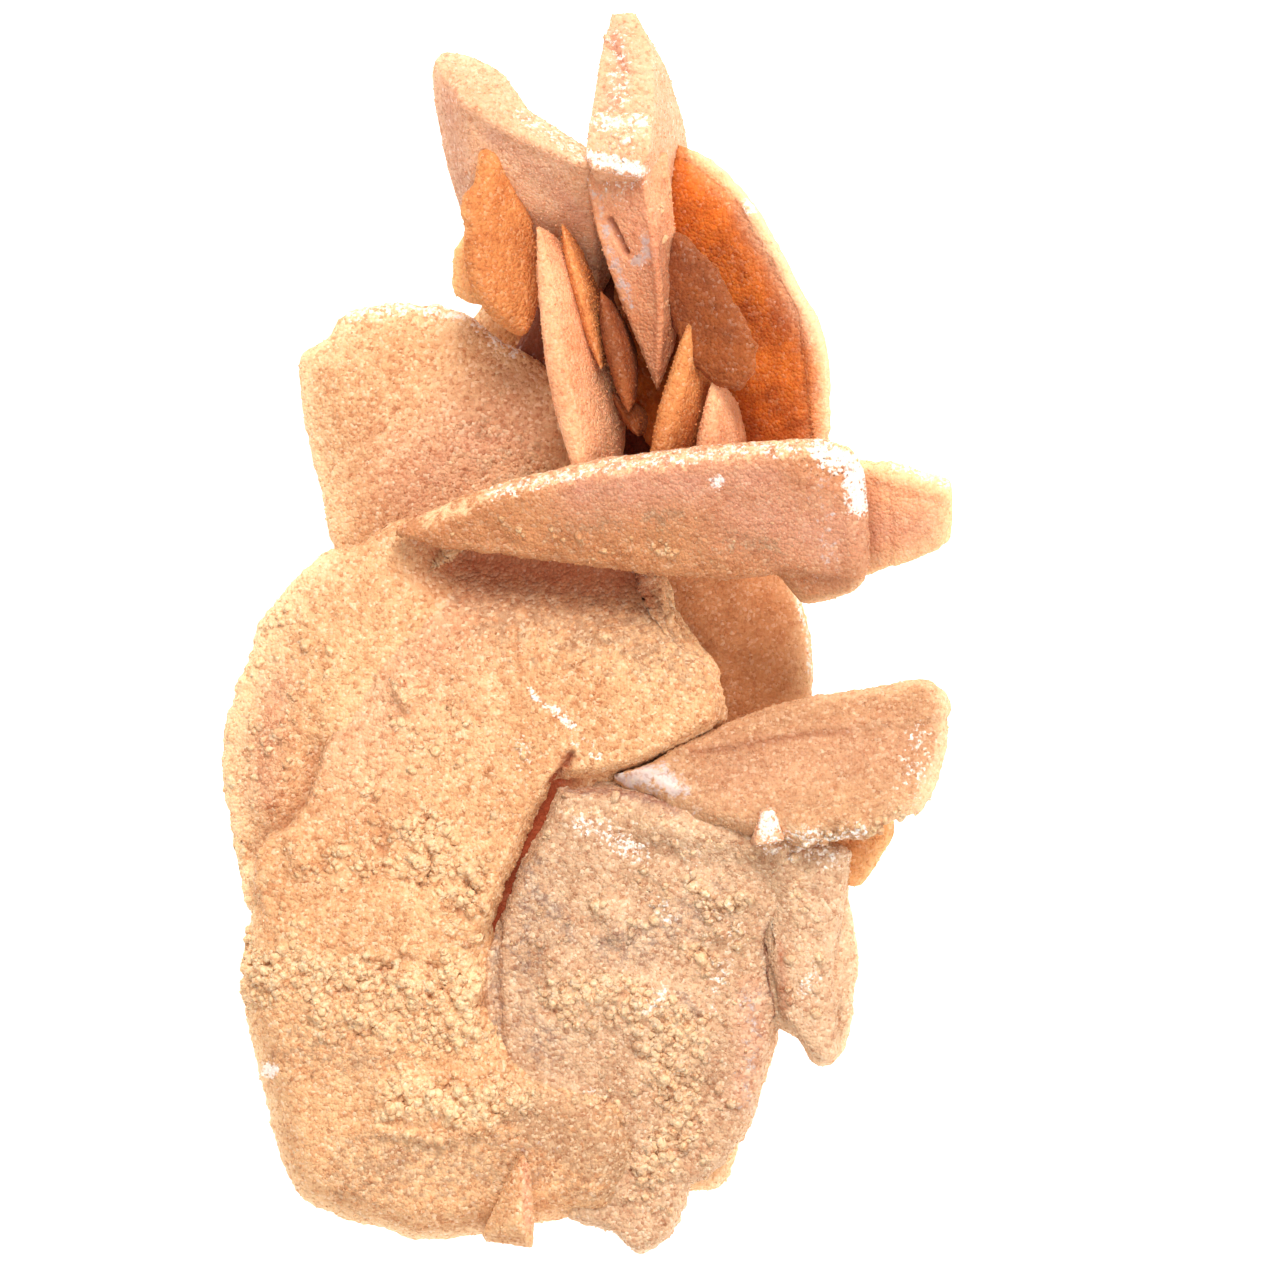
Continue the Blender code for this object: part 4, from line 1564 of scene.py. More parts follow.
    def leaves(self) -> list[Blade]:
        """The thin leaves and the vivid wing on both sides of the hollow.

        Returns:
            The blades.
        """
        return [
            plate(
                "left_leaf", height=22.5, lean=(-0.85, 0.0), middle=self.leaf_middle, rim=1.8,
                slope=self.leaf_slope, tone=Tone.AMBER, rough=0.32, thin_reach=1.4,
                outline=(
                    (-12, 61), (-10.5, 59), (-9.5, 55.5), (-7, 51), (-6, 41.5), (-8, 36.5),
                    (-12, 39.5), (-14.2, 42.5), (-15, 46.5), (-15.5, 54), (-13.8, 56),
                    (-13.5, 59.5),
                ),
            ),
            plate(
                "far_left_leaf", height=18.0, lean=(-0.4, 0.0), middle=self.leaf_middle,
                rim=self.leaf_rim, slope=self.leaf_slope, tone=Tone.AMBER,
                outline=(
                    (-15, 50), (-16.8, 47.5), (-16.8, 42.5), (-14, 40.8), (-8, 41), (-7, 49),
                    (-11, 52),
                ),
            ),
            plate(
                "right_leaf", height=30.0, lean=(0.45, -0.05), middle=3.6, rim=self.leaf_rim,
                slope=self.leaf_slope, tone=Tone.BROWN, ragged=0.45, rough=0.32,
                thin_reach=self.lit_reach,
                outline=(
                    (11, 50.2), (12.7, 49.2), (15, 46.5), (17.2, 43.5), (19, 40.5), (20.5, 37.5),
                    (21, 36), (20.6, 32.5), (18.9, 29.8), (16.2, 30.6), (12, 34), (9, 44.5),
                ),
            ),
            plate(
                "right_wing", height=12.0, lean=(0.55, 0.1), middle=5.5, rim=2.4, slope=4.0,
                tone=Tone.VIVID, thin_reach=self.lit_reach,
                outline=(
                    (9, 61.5), (12.5, 60.6), (15.2, 59), (18.2, 56.3), (20.5, 54), (22.5, 50.2),
                    (25, 46), (26.4, 43), (28.2, 40), (29.5, 36.2), (30.2, 32.8), (30, 24),
                    (27, 17), (18, 14), (8, 22), (3, 38), (5, 54),
                ),
                strokes=(
                    Work.STEP(
                        0.5, -0.8, (27.5, 30), (26.4, 40.5), (22, 48.5), (18.6, 54.6), (13, 60),
                    ),
                    Work.PINK(1.6, 0.9, (20.5, 53), (25.5, 44), (28.5, 37)),
                    Work.YELLOW(2.0, 0.45, (14, 58), (17, 53)),
                    Work.YELLOW(
                        2.0, 0.55, (14, 59.6), (19.4, 54.9), (23.3, 48.6), (26.6, 42), (28.6, 36),
                        (28.8, 26),
                    ),
                    Work.POWDER(0.8, 0.9, (20, 53.6), (20.6, 52.6)),
                ),
            ),
        ]

    def fingers(self) -> list[Blade]:
        """The slim blades that stand edge-on in the hollow.

        Returns:
            The blades.
        """
        return [
            fin(
                "long_finger", tip=(-6.2, 50.8, 34), foot=(0.6, 14, 37.5), lean=(0.42, 0.0),
                bulge=2.8, depth=self.finger_depth, middle=5.6, rim=self.finger_rim,
                tone=Tone.PEACH,
            ),
            fin(
                "thin_finger", tip=(-3.2, 51, 33), foot=(1.8, 32.5, 35), lean=(0.15, 0.0),
                bulge=0.8, depth=self.slim_depth, middle=2.4, rim=1.3, tone=Tone.AMBER,
            ),
            fin(
                "short_finger", tip=(1.7, 42.5, 34), foot=(5.2, 27.5, 36), lean=(0.15, 0.0),
                bulge=1.2, depth=self.slim_depth, middle=3.4, rim=1.7, tone=Tone.BROWN,
            ),
            fin(
                "stub_finger", tip=(3, 30, 31), foot=(6.4, 24.5, 32), lean=(0.3, 0.0), bulge=0.5,
                depth=8.0, middle=2.2, rim=1.2, tone=Tone.BROWN,
            ),
            fin(
                "right_finger", tip=(13.4, 40.4, 35), foot=(7.2, 14.5, 38.5), lean=(0.3, 0.0),
                bulge=0.8, depth=self.finger_depth, middle=5.2, rim=self.finger_rim,
            ),
            fin(
                "low_finger", tip=(15.8, 31.7, 35), foot=(14, 14, 39), lean=(0.3, 0.0), bulge=0.5,
                depth=14.0, middle=5.0, rim=self.finger_rim, tone=Tone.PEACH,
            ),
        ]

    def heart(self) -> Blade:
        """The ground of the hollow, darkened with painted shade.

        Returns:
            The blade.
        """
        return disc(
            "crown_heart", centre=(8, 30), radii=(17.0, 20.0), height=13.0, lean=(0.0, 0.1),
            middle=12.0, rim=3.0, slope=9.0, tone=Tone.BROWN,
            # Painted shade over the hollow's ground.
            strokes=(Work.DARK(16.0, 1.0, (6, 34), (8, 22)),),
        )

    def crystals(self) -> list[Crystal]:
        """All of the crown's crystals."""
        blocks = [self.left_wing(), self.spire(), self.spire_foot()]
        return [*blocks, *self.leaves(), *self.fingers(), self.heart()]


@dataclass
class Middle(Cluster):
    """The long shelf across the front and the plates behind it."""

    name: str = "middle"
    sheet_rim: float = 2.2
    streaky_rough: float = 0.14

    def back_plate(self) -> Blade:
        """The broad plate behind the shelf, at the left.

        Returns:
            The blade.
        """
        outline = (
            (-36.3, 35), (-32.3, 37), (-31.3, 39.2), (-29.5, 40.6), (-26, 41.2), (-21, 41.2),
            (-15, 40), (-12, 37.5), (-7, 34.5), (2, 28), (6, 16), (2, 4), (-12, -2), (-26, 2),
            (-32, 10.5), (-33, 16.5), (-34.3, 21), (-35.6, 27),
        )
        strokes = (
            Work.STAIN(7.0, 0.7, (-13, 25), (-7, 18)),
            Work.PINK(8.0, 0.7, (-20, 20), (-10, 26)),
            Work.POWDER(1.8, 0.6, (-30, 40), (-24, 41), (-15, 40), (-9, 35.6)),
            Work.YELLOW(3.0, 0.7, (-34, 36), (-28, 39.6), (-22, 40.4), (-15, 39), (-9, 34.6)),
            Work.MOUND(0.9, 0.6, (-18.9, 40.9)),
        )
        return plate(
            "back_plate", outline=outline, height=19.0, lean=(0.06, -0.05), middle=8.0,
            rim=self.sheet_rim, slope=9.0, rough=0.3, strokes=strokes,
        )

    def shelf(self) -> Blade:
        """The long shelf across the front.

        Returns:
            The blade.
        """
        outline = (
            (-24.4, 12.6), (-21, 14.3), (-15, 16.7), (-9, 18.8), (-3, 20.2), (3, 21.4), (9.5, 22.2),
            (15.5, 22.7), (21.5, 23.4), (26.5, 23.7), (30, 23.6), (32.3, 22.9), (33.6, 21.9),
            (34.2, 19.8), (34.7, 14.4), (34.9, 8), (34.4, 6), (33, 5), (27, 3.6), (25.6, 5.5),
            (24, 7.5), (18.5, 7), (11, 7.5), (3.4, 8.3), (-8.5, 10), (-17.2, 10.9),
        )
        strokes = (
            Work.YELLOW(
                1.6, 1.0, (-20, 13.9), (-9, 18), (3, 20.6), (15, 21.9), (27, 22.9), (33, 21.6),
            ),
            Work.POWDER(1.2, 0.6, (-12, 17), (3, 20.6), (15, 21.9), (27, 22.9), (33, 21.6)),
            Work.POWDER(1.3, 0.8, (16.3, 18.9)),
            Work.POWDER(1.8, 0.9, (29, 22.4), (33.2, 20.6), (33.6, 16)),
            Work.YELLOW(2.2, 0.35, (-16, 11.6), (-4, 10.8), (10, 9.4), (20, 9.2)),
            Work.CRUST(3.6, 0.28, (-16, 12), (-4, 11.6), (10, 10.6), (20, 10)),
            Work.STAIN(3.0, 0.5, (-10, 11.4), (22, 9.6)),
            Work.STAIN(2.6, 0.7, (-4, 13.4), (4, 13.6)),
            Work.STAIN(1.8, 0.9, (8, 14.6), (11, 14.8)),
            Work.STAIN(2.0, 0.8, (18, 11.6), (24, 11)),
            Work.PINK(4.0, 1.0, (0, 18), (12, 19), (22, 18.4)),
            Work.PINK(6.0, 0.9, (20, 16), (31, 12)),
            Work.GLASS(3.0, 0.45, (29, 19), (30, 8)),
            Work.GROOVE(2.0, 0.6, (27, 5.2), (33, 5.6)),
            # Painted shade on the lower facet at the shelf's right end.
            Work.DARK(1.2, 0.14, (26.4, 5.8), (28.5, 5), (33, 5.6)),
            Work.STEP(
                0.3, 0.5, (-26, 9), (-8.5, 7.6), (11, 5.4), (22, 5.8), (24, 8.2), (29, 7.2),
                (34.6, 6.2),
            ),
        )
        return plate(
            "shelf", outline=outline, height=30.0, lean=(0.2, 0.42), middle=6.0, rim=2.0, slope=5.0,
            tone=Tone.ROSY, front_slope=1.6, rough=self.streaky_rough, thin_reach=1.2,
            strokes=strokes,
        )

    def shelf_tail(self) -> Blade:
        """The shelf's lower tail at the right.

        Returns:
            The blade.
        """
        outline = (
            (30, 21.5), (37.5, 21), (41, 20), (44.5, 18.9), (45.4, 18.2), (45.4, 14.5),
            (44.8, 11.4), (41, 9.5), (35, 7.4), (28, 6), (20, 9), (18, 16), (22, 20),
        )
        strokes = (
            Work.MOUND(0.7, 0.5, (36, 19.4), (44.9, 16.8)),
            Work.STEP(0.3, 0.35, (37.6, 20), (38.2, 14), (38, 8.4)),
            # Painted shade beside the shelf's right end.
            Work.DARK(1.4, 0.3, (35.4, 19), (35.6, 9)),
            Work.POWDER(0.8, 0.6, (38, 20.6), (44.6, 18.4)),
            Work.PINK(3.0, 0.6, (36, 12), (44, 13)),
        )
        return plate(
            "shelf_tail", outline=outline, height=26.0, lean=(0.12, 0.5), middle=5.5, rim=2.4,
            slope=4.0, tone=Tone.PEACH, rough=self.streaky_rough, strokes=strokes,
        )

    def right_disc(self) -> Blade:
        """The round blade behind the shelf, at the right.

        Returns:
            The blade.
        """
        outline = (
            (22, 10.5), (24.5, 7.5), (26, 5.3), (27.3, 2.4), (27.9, -0.5), (28.2, -4.2), (28, -9),
            (24, -14), (14, -16), (4, -12), (0, 0), (4, 12), (14, 15),
        )
        strokes = (
            Work.YELLOW(1.2, 0.9, (24.6, 8), (27.2, 3), (27.9, -2), (27.9, -8)),
            Work.POWDER(0.7, 0.6, (26, 5.4), (27.5, 1), (28, -5)),
        )
        return plate(
            "right_disc", outline=outline, height=21.5, lean=(-0.15, -0.1), middle=7.0,
            rim=self.sheet_rim, slope=6.0, tone=Tone.ROSY, strokes=strokes,
        )

    def crystals(self) -> list[Crystal]:
        """All of the middle's crystals."""
        return [self.back_plate(), self.shelf(), self.shelf_tail(), self.right_disc()]


@dataclass
class Lower(Cluster):
    """The broad crusted plates of the foot and the broken blades on its right."""

    name: str = "lower"
    plate_rim: float = 2.4
    flake_rim: float = 3.0
    flake_slope: float = 3.0
    crust_step: float = 0.28
    crust_ragged: float = 0.35
    crust_rough: float = 0.34
    crack: Path = ((-3.4, -18), (-4.7, -20.9), (-6.8, -25.5), (-8.8, -29.5), (-11.4, -36.6))
    joint: Path = ((-11.4, -36), (-11.4, -44), (-10.6, -53))
    under_shelf: Path = ((-15, 9.5), (0, 7), (14, 6))
    step_edge: Path = ((-33.8, -15), (-35.2, -20.6), (-38, -23.9), (-40.6, -25), (-42.4, -27.4))

    def broad_plate(self) -> Blade:
        """The broad plate that most of the others grow on.

        Returns:
            The blade.
        """
        outline = (
            (-24, 14), (-26, 12.5), (-28.5, 11), (-33, 9.8), (-36.8, 6.5), (-40.5, 2),
            (-43.2, -5.5), (-45.4, -12), (-45.8, -18), (-44.6, -24), (-43.8, -30), (-42, -36),
            (-34, -42), (-20, -44), (-6, -44), (0, -32), (10, -16), (18, -11.5), (16, -4), (11, 3),
            (8, 10), (-6, 16),
        )
        strokes = (
            Work.MOUND(3.0, 1.6, (-22, 11)),
            Work.GROOVE(6.0, 3.5, *self.under_shelf),
            Work.GROOVE(2.6, 1.3, *self.step_edge),
            # Painted shade along the foot of the step.
            Work.DARK(0.9, 0.2, *self.step_edge),
            # Painted shadow under the shelf.
            Work.DARK(4.2, 0.7, (-16, 9.4), (1.5, 7.4), (12, 6.8)),
            Work.PINK(3.0, 0.6, (-39, -6), (-41, -20)),
            Work.YELLOW(1.6, 0.5, (-43.4, -26), (-42.6, -33)),
            Work.CRUST(9.0, 0.4, (-36, 0), (-40, -14), (-42, -30)),
            Work.GROOVE(1.8, 0.8, *self.crack),
            # Painted shade in the crack.
            Work.DARK(2.4, 1.0, *self.crack),
        )
        return plate(
            "broad_plate", outline=outline, height=27.5, lean=(0.08, 0.03), middle=9.0,
            rim=self.plate_rim, slope=12.0, ragged=self.crust_ragged, rough=0.32, thin_reach=4.5,
            strokes=strokes,
        )

    def front_layer(self) -> Blade:
        """The layer that lies on the broad plate and ends at the crack.

        Returns:
            The blade.
        """
        outline = (
            (-30, -2), (-32.4, -10), (-33.3, -16), (-34.6, -20.8), (-37.2, -24.4), (-40, -25.6),
            (-41.6, -27.6), (-41.8, -31), (-40, -37), (-30, -43), (-15, -42), (-11.7, -36.4),
            (-9.5, -29.7), (-7.9, -26.2), (-5.6, -21.6), (-3.9, -18.5), (2.7, -17.9), (6, -16.9),
            (9.6, -15.4), (13, -13.6), (16.2, -11.8), (17.1, -9), (16.6, -5.2), (14.5, -2.4),
            (12, -0.5), (10.8, 4.5), (9.4, 12), (4, 17), (-12, 17), (-22, 10),
        )
        strokes = (
            Work.GROOVE(4.0, 2.4, (-20, 12), (-26, 4), (-30.4, -2), (-33, -9)),
            Work.GROOVE(6.0, 3.5, *self.under_shelf),
            # Painted shadow under the shelf: a brown stain and a darker band.
            Work.STAIN(5.0, 0.4, (-10, 8), (1.5, 6), (12, 5)),
            Work.DARK(4.2, 0.75, (-14, 9.2), (1.5, 7.4), (12, 6.8)),
            Work.GROOVE(0.5, 1.4, (-2.1, -15.3), (-3, -17), (-4, -19)),
            # Painted shade in the groove at the top of the crack.
            Work.DARK(0.6, 0.8, (-2.1, -15.3), (-3, -17), (-4, -19)),
            Work.CRUST(13.0, 0.55, (-30, -28), (-18, -34)),
            Work.CRUST(8.0, 0.35, (-26, -6), (-12, -14)),
            Work.CRUST(4.5, 1.0, (-39, -40), (-25, -42), (-12, -41)),
            Work.YELLOW(3.0, 0.8, (-38, -41), (-25, -42.5), (-12, -41)),
            Work.GROOVE(0.6, 1.0, (-20.3, -25.4), (-19.6, -28), (-19.7, -30.4)),
            Work.STAIN(1.0, 1.0, (-20.3, -25.4), (-19.6, -28), (-19.7, -30.4)),
            Work.GROOVE(0.5, 0.8, (-15, -31), (-13.6, -32.8)),
            Work.STAIN(0.8, 1.0, (-15, -31), (-13.6, -32.8)),
            Work.MOUND(1.2, 0.9, (-36.4, -26.4), (-35.9, -29)),
            Work.MOUND(1.8, 1.1, (-19, -33.7)),
            Work.MOUND(0.7, 1.1, (-23.9, -6.4), (-22.4, -9)),
            Work.MOUND(0.6, 0.9, (-22.6, -8.4), (-20.6, -7.4)),
            Work.YELLOW(0.9, 0.9, (-23.9, -6.4), (-22.4, -9), (-20.6, -7.4)),
            Work.MOUND(0.8, 0.8, (1.8, -0.4), (3, -0.4)),
            Work.YELLOW(0.8, 0.7, (1.8, -0.4), (3, -0.4)),
            Work.CRUST(4.5, 0.95, (-20.5, -26), (-15, -33)),
            Work.POWDER(0.5, 0.75, (-7, -7), (-6, -8.5), (-5.2, -8.9), (-4.2, -9.9)),
            Work.POWDER(0.9, 0.7, (-4, -9.7), (-3.2, -10.5), (-2.1, -11.5)),
            Work.POWDER(1.7, 0.42, (-1.4, -13.4), (0, -14.8), (1.8, -15.6)),
            Work.POWDER(1.7, 0.4, (-8.2, -13.6), (-7.8, -17.6)),
            Work.STAIN(8.0, 1.0, (-12, 4), (12, -2)),
            Work.STAIN(8.0, 0.35, (-12, -12), (-20, -20), (-28, -30)),
            Work.PINK(9.0, 0.5, (-30, -12), (-20, 0)),
        )
        return plate(
            "front_layer", outline=outline, height=28.3, lean=(0.1, -0.05), middle=9.0, rim=4.2,
            slope=6.0, front_slope=1.2, step=self.crust_step, ragged=0.4, rough=self.crust_rough,
            lumps=1.15, thin_reach=1.0, strokes=strokes,
        )

    def foot_plate(self) -> Blade:
        """The crusted plate of the foot.

        Returns:
            The blade.
        """
        outline = (
            (-41, -33), (-42.6, -38), (-43.4, -44.5), (-42.2, -50), (-40.6, -56.5), (-39.2, -62.5),
            (-38, -67), (-36, -70.5), (-33.4, -72), (-29, -73.9), (-25.7, -74.4), (-22, -75.8),
            (-18.5, -76), (-13, -75.1), (-3, -73.2), (4, -73), (7.5, -64), (5, -57), (-5, -54.5),
            (-9.8, -50), (-11.2, -42), (-12, -34), (-24, -27),
        )
        strokes = (
            Work.CRUST(4.6, 1.0, (-42, -42), (-25, -45), (-12, -45)),
            Work.CRUST(4.0, 0.9, (-33, -47), (-20, -49), (-11, -50)),
            Work.YELLOW(2.6, 0.9, (-42, -41), (-30, -43), (-20, -43.2), (-11, -42.5)),
            Work.CRUST(4.2, 1.0, (-23.5, -57.5), (-15, -59), (-9, -57)),
            Work.YELLOW(4.0, 0.9, (-23, -58), (-14, -59.5)),
            Work.MOUND(3.6, 1.0, (-23.5, -58), (-13, -59)),
            Work.MOUND(0.9, 0.7, (-26, -62.2), (-19, -63.4), (-12.5, -61.8)),
            Work.CRUST(3.0, 0.8, (-4, -56), (4, -58)),
            Work.STAIN(5.0, 0.85, (-36, -52), (-27, -54)),
            Work.STAIN(7.0, 1.0, (-28, -67), (-4, -65)),
            Work.STAIN(9.0, 1.3, (-6, -60), (5, -66)),
            Work.GLASS(8.0, 0.22, (-20, -66), (2, -62)),
            Work.GROOVE(0.6, 1.1, (-27, -41.6), (-24.2, -42)),
            # Painted shade in the groove.
            Work.DARK(0.6, 0.6, (-27, -41.6), (-24.2, -42)),
            Work.GROOVE(0.6, 1.0, (-18.2, -44.2), (-16.4, -46.2)),
            Work.POWDER(1.3, 1.0, (-39.6, -54.8)),
        )
        return plate(
            "foot_plate", outline=outline, height=33.5, lean=(0.08, 0.12), middle=12.0,
            rim=self.plate_rim, slope=10.0, front_slope=5.0, step=self.crust_step,
            ragged=self.crust_ragged, rough=self.crust_rough, lumps=1.2, strokes=strokes,
        )

    def right_block(self) -> Blade:
        """The thick crusted block at the right of the crack.

        Returns:
            The blade.
        """
        outline = (
            (-3.5, -18.6), (2.7, -18.1), (8, -17.8), (13, -20.6), (22, -24.4), (25, -26),
            (24.6, -33), (23.5, -37.4), (24.2, -43), (25.2, -47.6), (24.2, -49), (23.6, -50.5),
            (22, -56), (20.6, -61.5), (16, -67), (13, -69), (12.5, -71), (10.5, -75), (8.5, -76.6),
            (6, -77.4), (3.2, -74.6), (-2, -73.5), (-10, -62), (-13.5, -50), (-13.5, -40),
            (-11.5, -36.6), (-9.7, -32), (-8, -28.5), (-6.1, -25), (-4.3, -20.6),
        )
        strokes = (
            Work.GROOVE(1.2, 0.8, (-2.4, -18.6), (4, -18.8), (10, -20.2)),
            Work.STAIN(1.5, 1.0, (-2.4, -19.2), (3, -19.4), (6, -19.9), (11, -21.9)),
            # Painted shade along the groove by the fan.
            Work.DARK(0.9, 0.3, (-2.4, -19), (3, -19.2), (7, -20), (11, -21.6)),
            Work.MOUND(2.6, 2.0, (9, -23.6), (20, -26), (31, -28)),
            Work.YELLOW(2.4, 0.7, (-2, -22), (8, -23.6), (16, -26)),
            Work.POWDER(1.6, 0.5, (22, -26.6), (30, -28)),
            Work.POWDER(1.4, 0.5, (9, -34), (10.6, -36)),
            Work.POWDER(1.8, 0.4, (17, -41), (16, -46)),
            Work.CRUST(24.0, 0.4, (10, -38), (4, -60)),
            Work.CRUST(4.5, 1.0, (-4, -46), (4, -45), (12, -50)),
            Work.MOUND(3.5, 0.9, (-2, -46), (4, -45), (11, -48)),
            Work.CRUST(3.6, 1.0, (9, -53), (12, -61), (8, -67)),
            Work.YELLOW(2.6, 0.5, (-6, -44), (6, -44), (13, -50)),
            Work.YELLOW(2.4, 0.6, (11, -55), (12, -62), (6, -70)),
            Work.STAIN(5.0, 0.75, (-7, -30), (-8, -40), (-5, -52)),
            Work.STAIN(4.5, 0.85, (4, -40), (16, -34)),
            Work.STAIN(3.0, 0.6, (14, -50), (17, -56)),
            Work.STAIN(1.7, 1.0, (-6, -33), (-3.4, -35.4), (-2, -37.6)),
            Work.STAIN(1.6, 1.0, (1.6, -38.8), (5, -37.4), (8.6, -38.6)),
            Work.STAIN(1.3, 1.0, (-6.6, -47.6), (-4.6, -50.4)),
            Work.STAIN(1.3, 1.0, (11.6, -45), (13.8, -47.6)),
            Work.CRUST(1.5, 1.0, (13.6, -31.4), (15.4, -34.6), (19.4, -33.6)),
            Work.CRUST(1.5, 1.0, (12, -39.4), (15.6, -41)),
            Work.POWDER(1.3, 0.55, (7.4, -46.8), (9.8, -44.8)),
            Work.POWDER(1.2, 0.5, (-1.6, -59), (0.8, -57.4)),
            Work.POWDER(2.0, 0.55, (-1, -23.6), (1.4, -24.2), (3.4, -25.8), (6.6, -27.6)),
            Work.POWDER(3.4, 0.24, (-2, -22.4), (10, -25)),
            Work.POWDER(4.0, 0.3, (14, -28), (18, -38)),
            Work.MOUND(1.8, 1.3, (2.6, -34.8)),
            Work.MOUND(1.1, 0.8, (3.6, -37.6)),
            Work.MOUND(1.2, 0.8, (16.6, -37.8)),
            Work.GROOVE(3.0, 1.0, (23.4, -39), (24, -44), (24.4, -48)),
            Work.STAIN(2.2, 1.0, (23, -37.6), (23.6, -43), (24.6, -48)),
            # Painted shade in the crevice.
            Work.DARK(0.8, 0.5, (23.7, -38), (24.3, -43), (25, -47)),
            Work.GLASS(2.0, 0.5, (20.6, -46), (20.6, -52), (19.4, -59)),
            Work.STAIN(2.4, 0.7, (20.8, -45), (21, -52), (19.8, -58)),
            Work.PINK(2.4, 0.5, (20.6, -45), (20.8, -52), (19.4, -58)),
            Work.GLASS(5.0, 0.28, (-2, -23), (12, -26)),
            Work.GROOVE(0.6, 0.9, *self.joint),
            Work.STAIN(1.6, 0.9, *self.joint),
        )
        return plate(
            "right_block", outline=outline, height=28.5, lean=(0.0, 0.1), middle=15.0, rim=9.0,
            slope=7.0, tone=Tone.TAN, front_slope=1.4, step=self.crust_step,
            ragged=self.crust_ragged, rough=0.4, lumps=1.0, strokes=strokes,
        )

    def fan(self) -> Blade:
        """The fan blade at the right, with its glassy tip.

        Returns:
            The blade.
        """
        outline = (
            (2.8, -18.2), (7.5, -16.6), (15.5, -12.9), (22, -10), (29, -8.3), (34, -7.7),
            (41.8, -6.2), (43, -6.6), (44.5, -8.4), (45.1, -13.5), (44.4, -17.5), (42, -21.8),
            (37.2, -23.3), (34.6, -26), (30.5, -25.4), (28, -26.4), (25.5, -26.1), (24, -25.2),
            (19.5, -25), (14, -23.5), (10, -22), (6, -19.8),
        )
        strokes = (
            Work.STEP(0.35, 0.7, (4, -17), (10, -15.6), (18.5, -14.2), (26.6, -12.8), (45, -10.8)),
            Work.STAIN(0.5, 0.8, (15, -15), (18.5, -14.4), (22, -13.8)),
            # Painted shade along the growth step.
            Work.DARK(0.35, 0.3, (13, -15.2), (18.5, -14.4), (26.6, -13), (33, -12.4)),
            Work.YELLOW(2.0, 0.4, (14, -13.8), (26, -10.6), (42, -8.4)),
            Work.STEP(0.3, 0.25, (12, -17), (20, -16.2), (28, -14.8), (34, -14)),
            Work.STEP(0.25, 0.2, (16, -19.4), (24, -18.4), (32, -17.6), (40, -16.4)),
            Work.STEP(0.3, -0.35, (6, -21.5), (20, -22.6), (27, -22), (45, -19)),
            Work.STAIN(0.7, 0.6, (23.5, -21.2), (34, -21.5)),
            Work.POWDER(3.0, 0.44, (41.4, -13), (40.6, -19)),
            Work.POWDER(1.4, 0.6, (25, -25.6), (34, -24.6)),
            Work.GLASS(2.4, 1.1, (4.2, -18.2), (8, -17.8), (10.6, -19.4)),
            Work.GLASS(1.0, 0.7, (8, -20), (13.6, -22.4)),
            Work.CRUST(1.2, 0.8, (27, -25.8), (31, -24.9), (35, -25), (41, -21.6)),
            Work.MOUND(0.9, 0.5, (27, -25.4), (31, -24.5), (35, -24.4), (40.6, -21.4)),
            Work.PINK(5.0, 0.3, (18, -18), (38, -14)),
        )
        return plate(
            "fan", outline=outline, height=22.4, lean=(0.05, -0.46), middle=6.0, rim=2.2, slope=4.0,
            tone=Tone.FAWN, front_slope=2.0, ragged=self.crust_ragged, rough=0.16, strokes=strokes,
        )

    def fan_stub(self) -> Block:
        """The pale stub on the fan's lower edge.

        Returns:
            The block.
        """
        hulls = (
            (
                (20.2, -26.4, 34), (21.4, -21.8, 35.4), (23.6, -21.4, 35.2), (25, -25.8, 34.4),
                (20.8, -26.6, 37.4), (21.9, -22.4, 38), (23.4, -22.2, 37.6), (24.5, -26, 37.2),
            ),
        )
        strokes = (Work.POWDER(3.0, 0.8, (22.6, -24)),)
        return Block("fan_stub", hulls=hulls, tone=Tone.PALE, strokes=strokes)

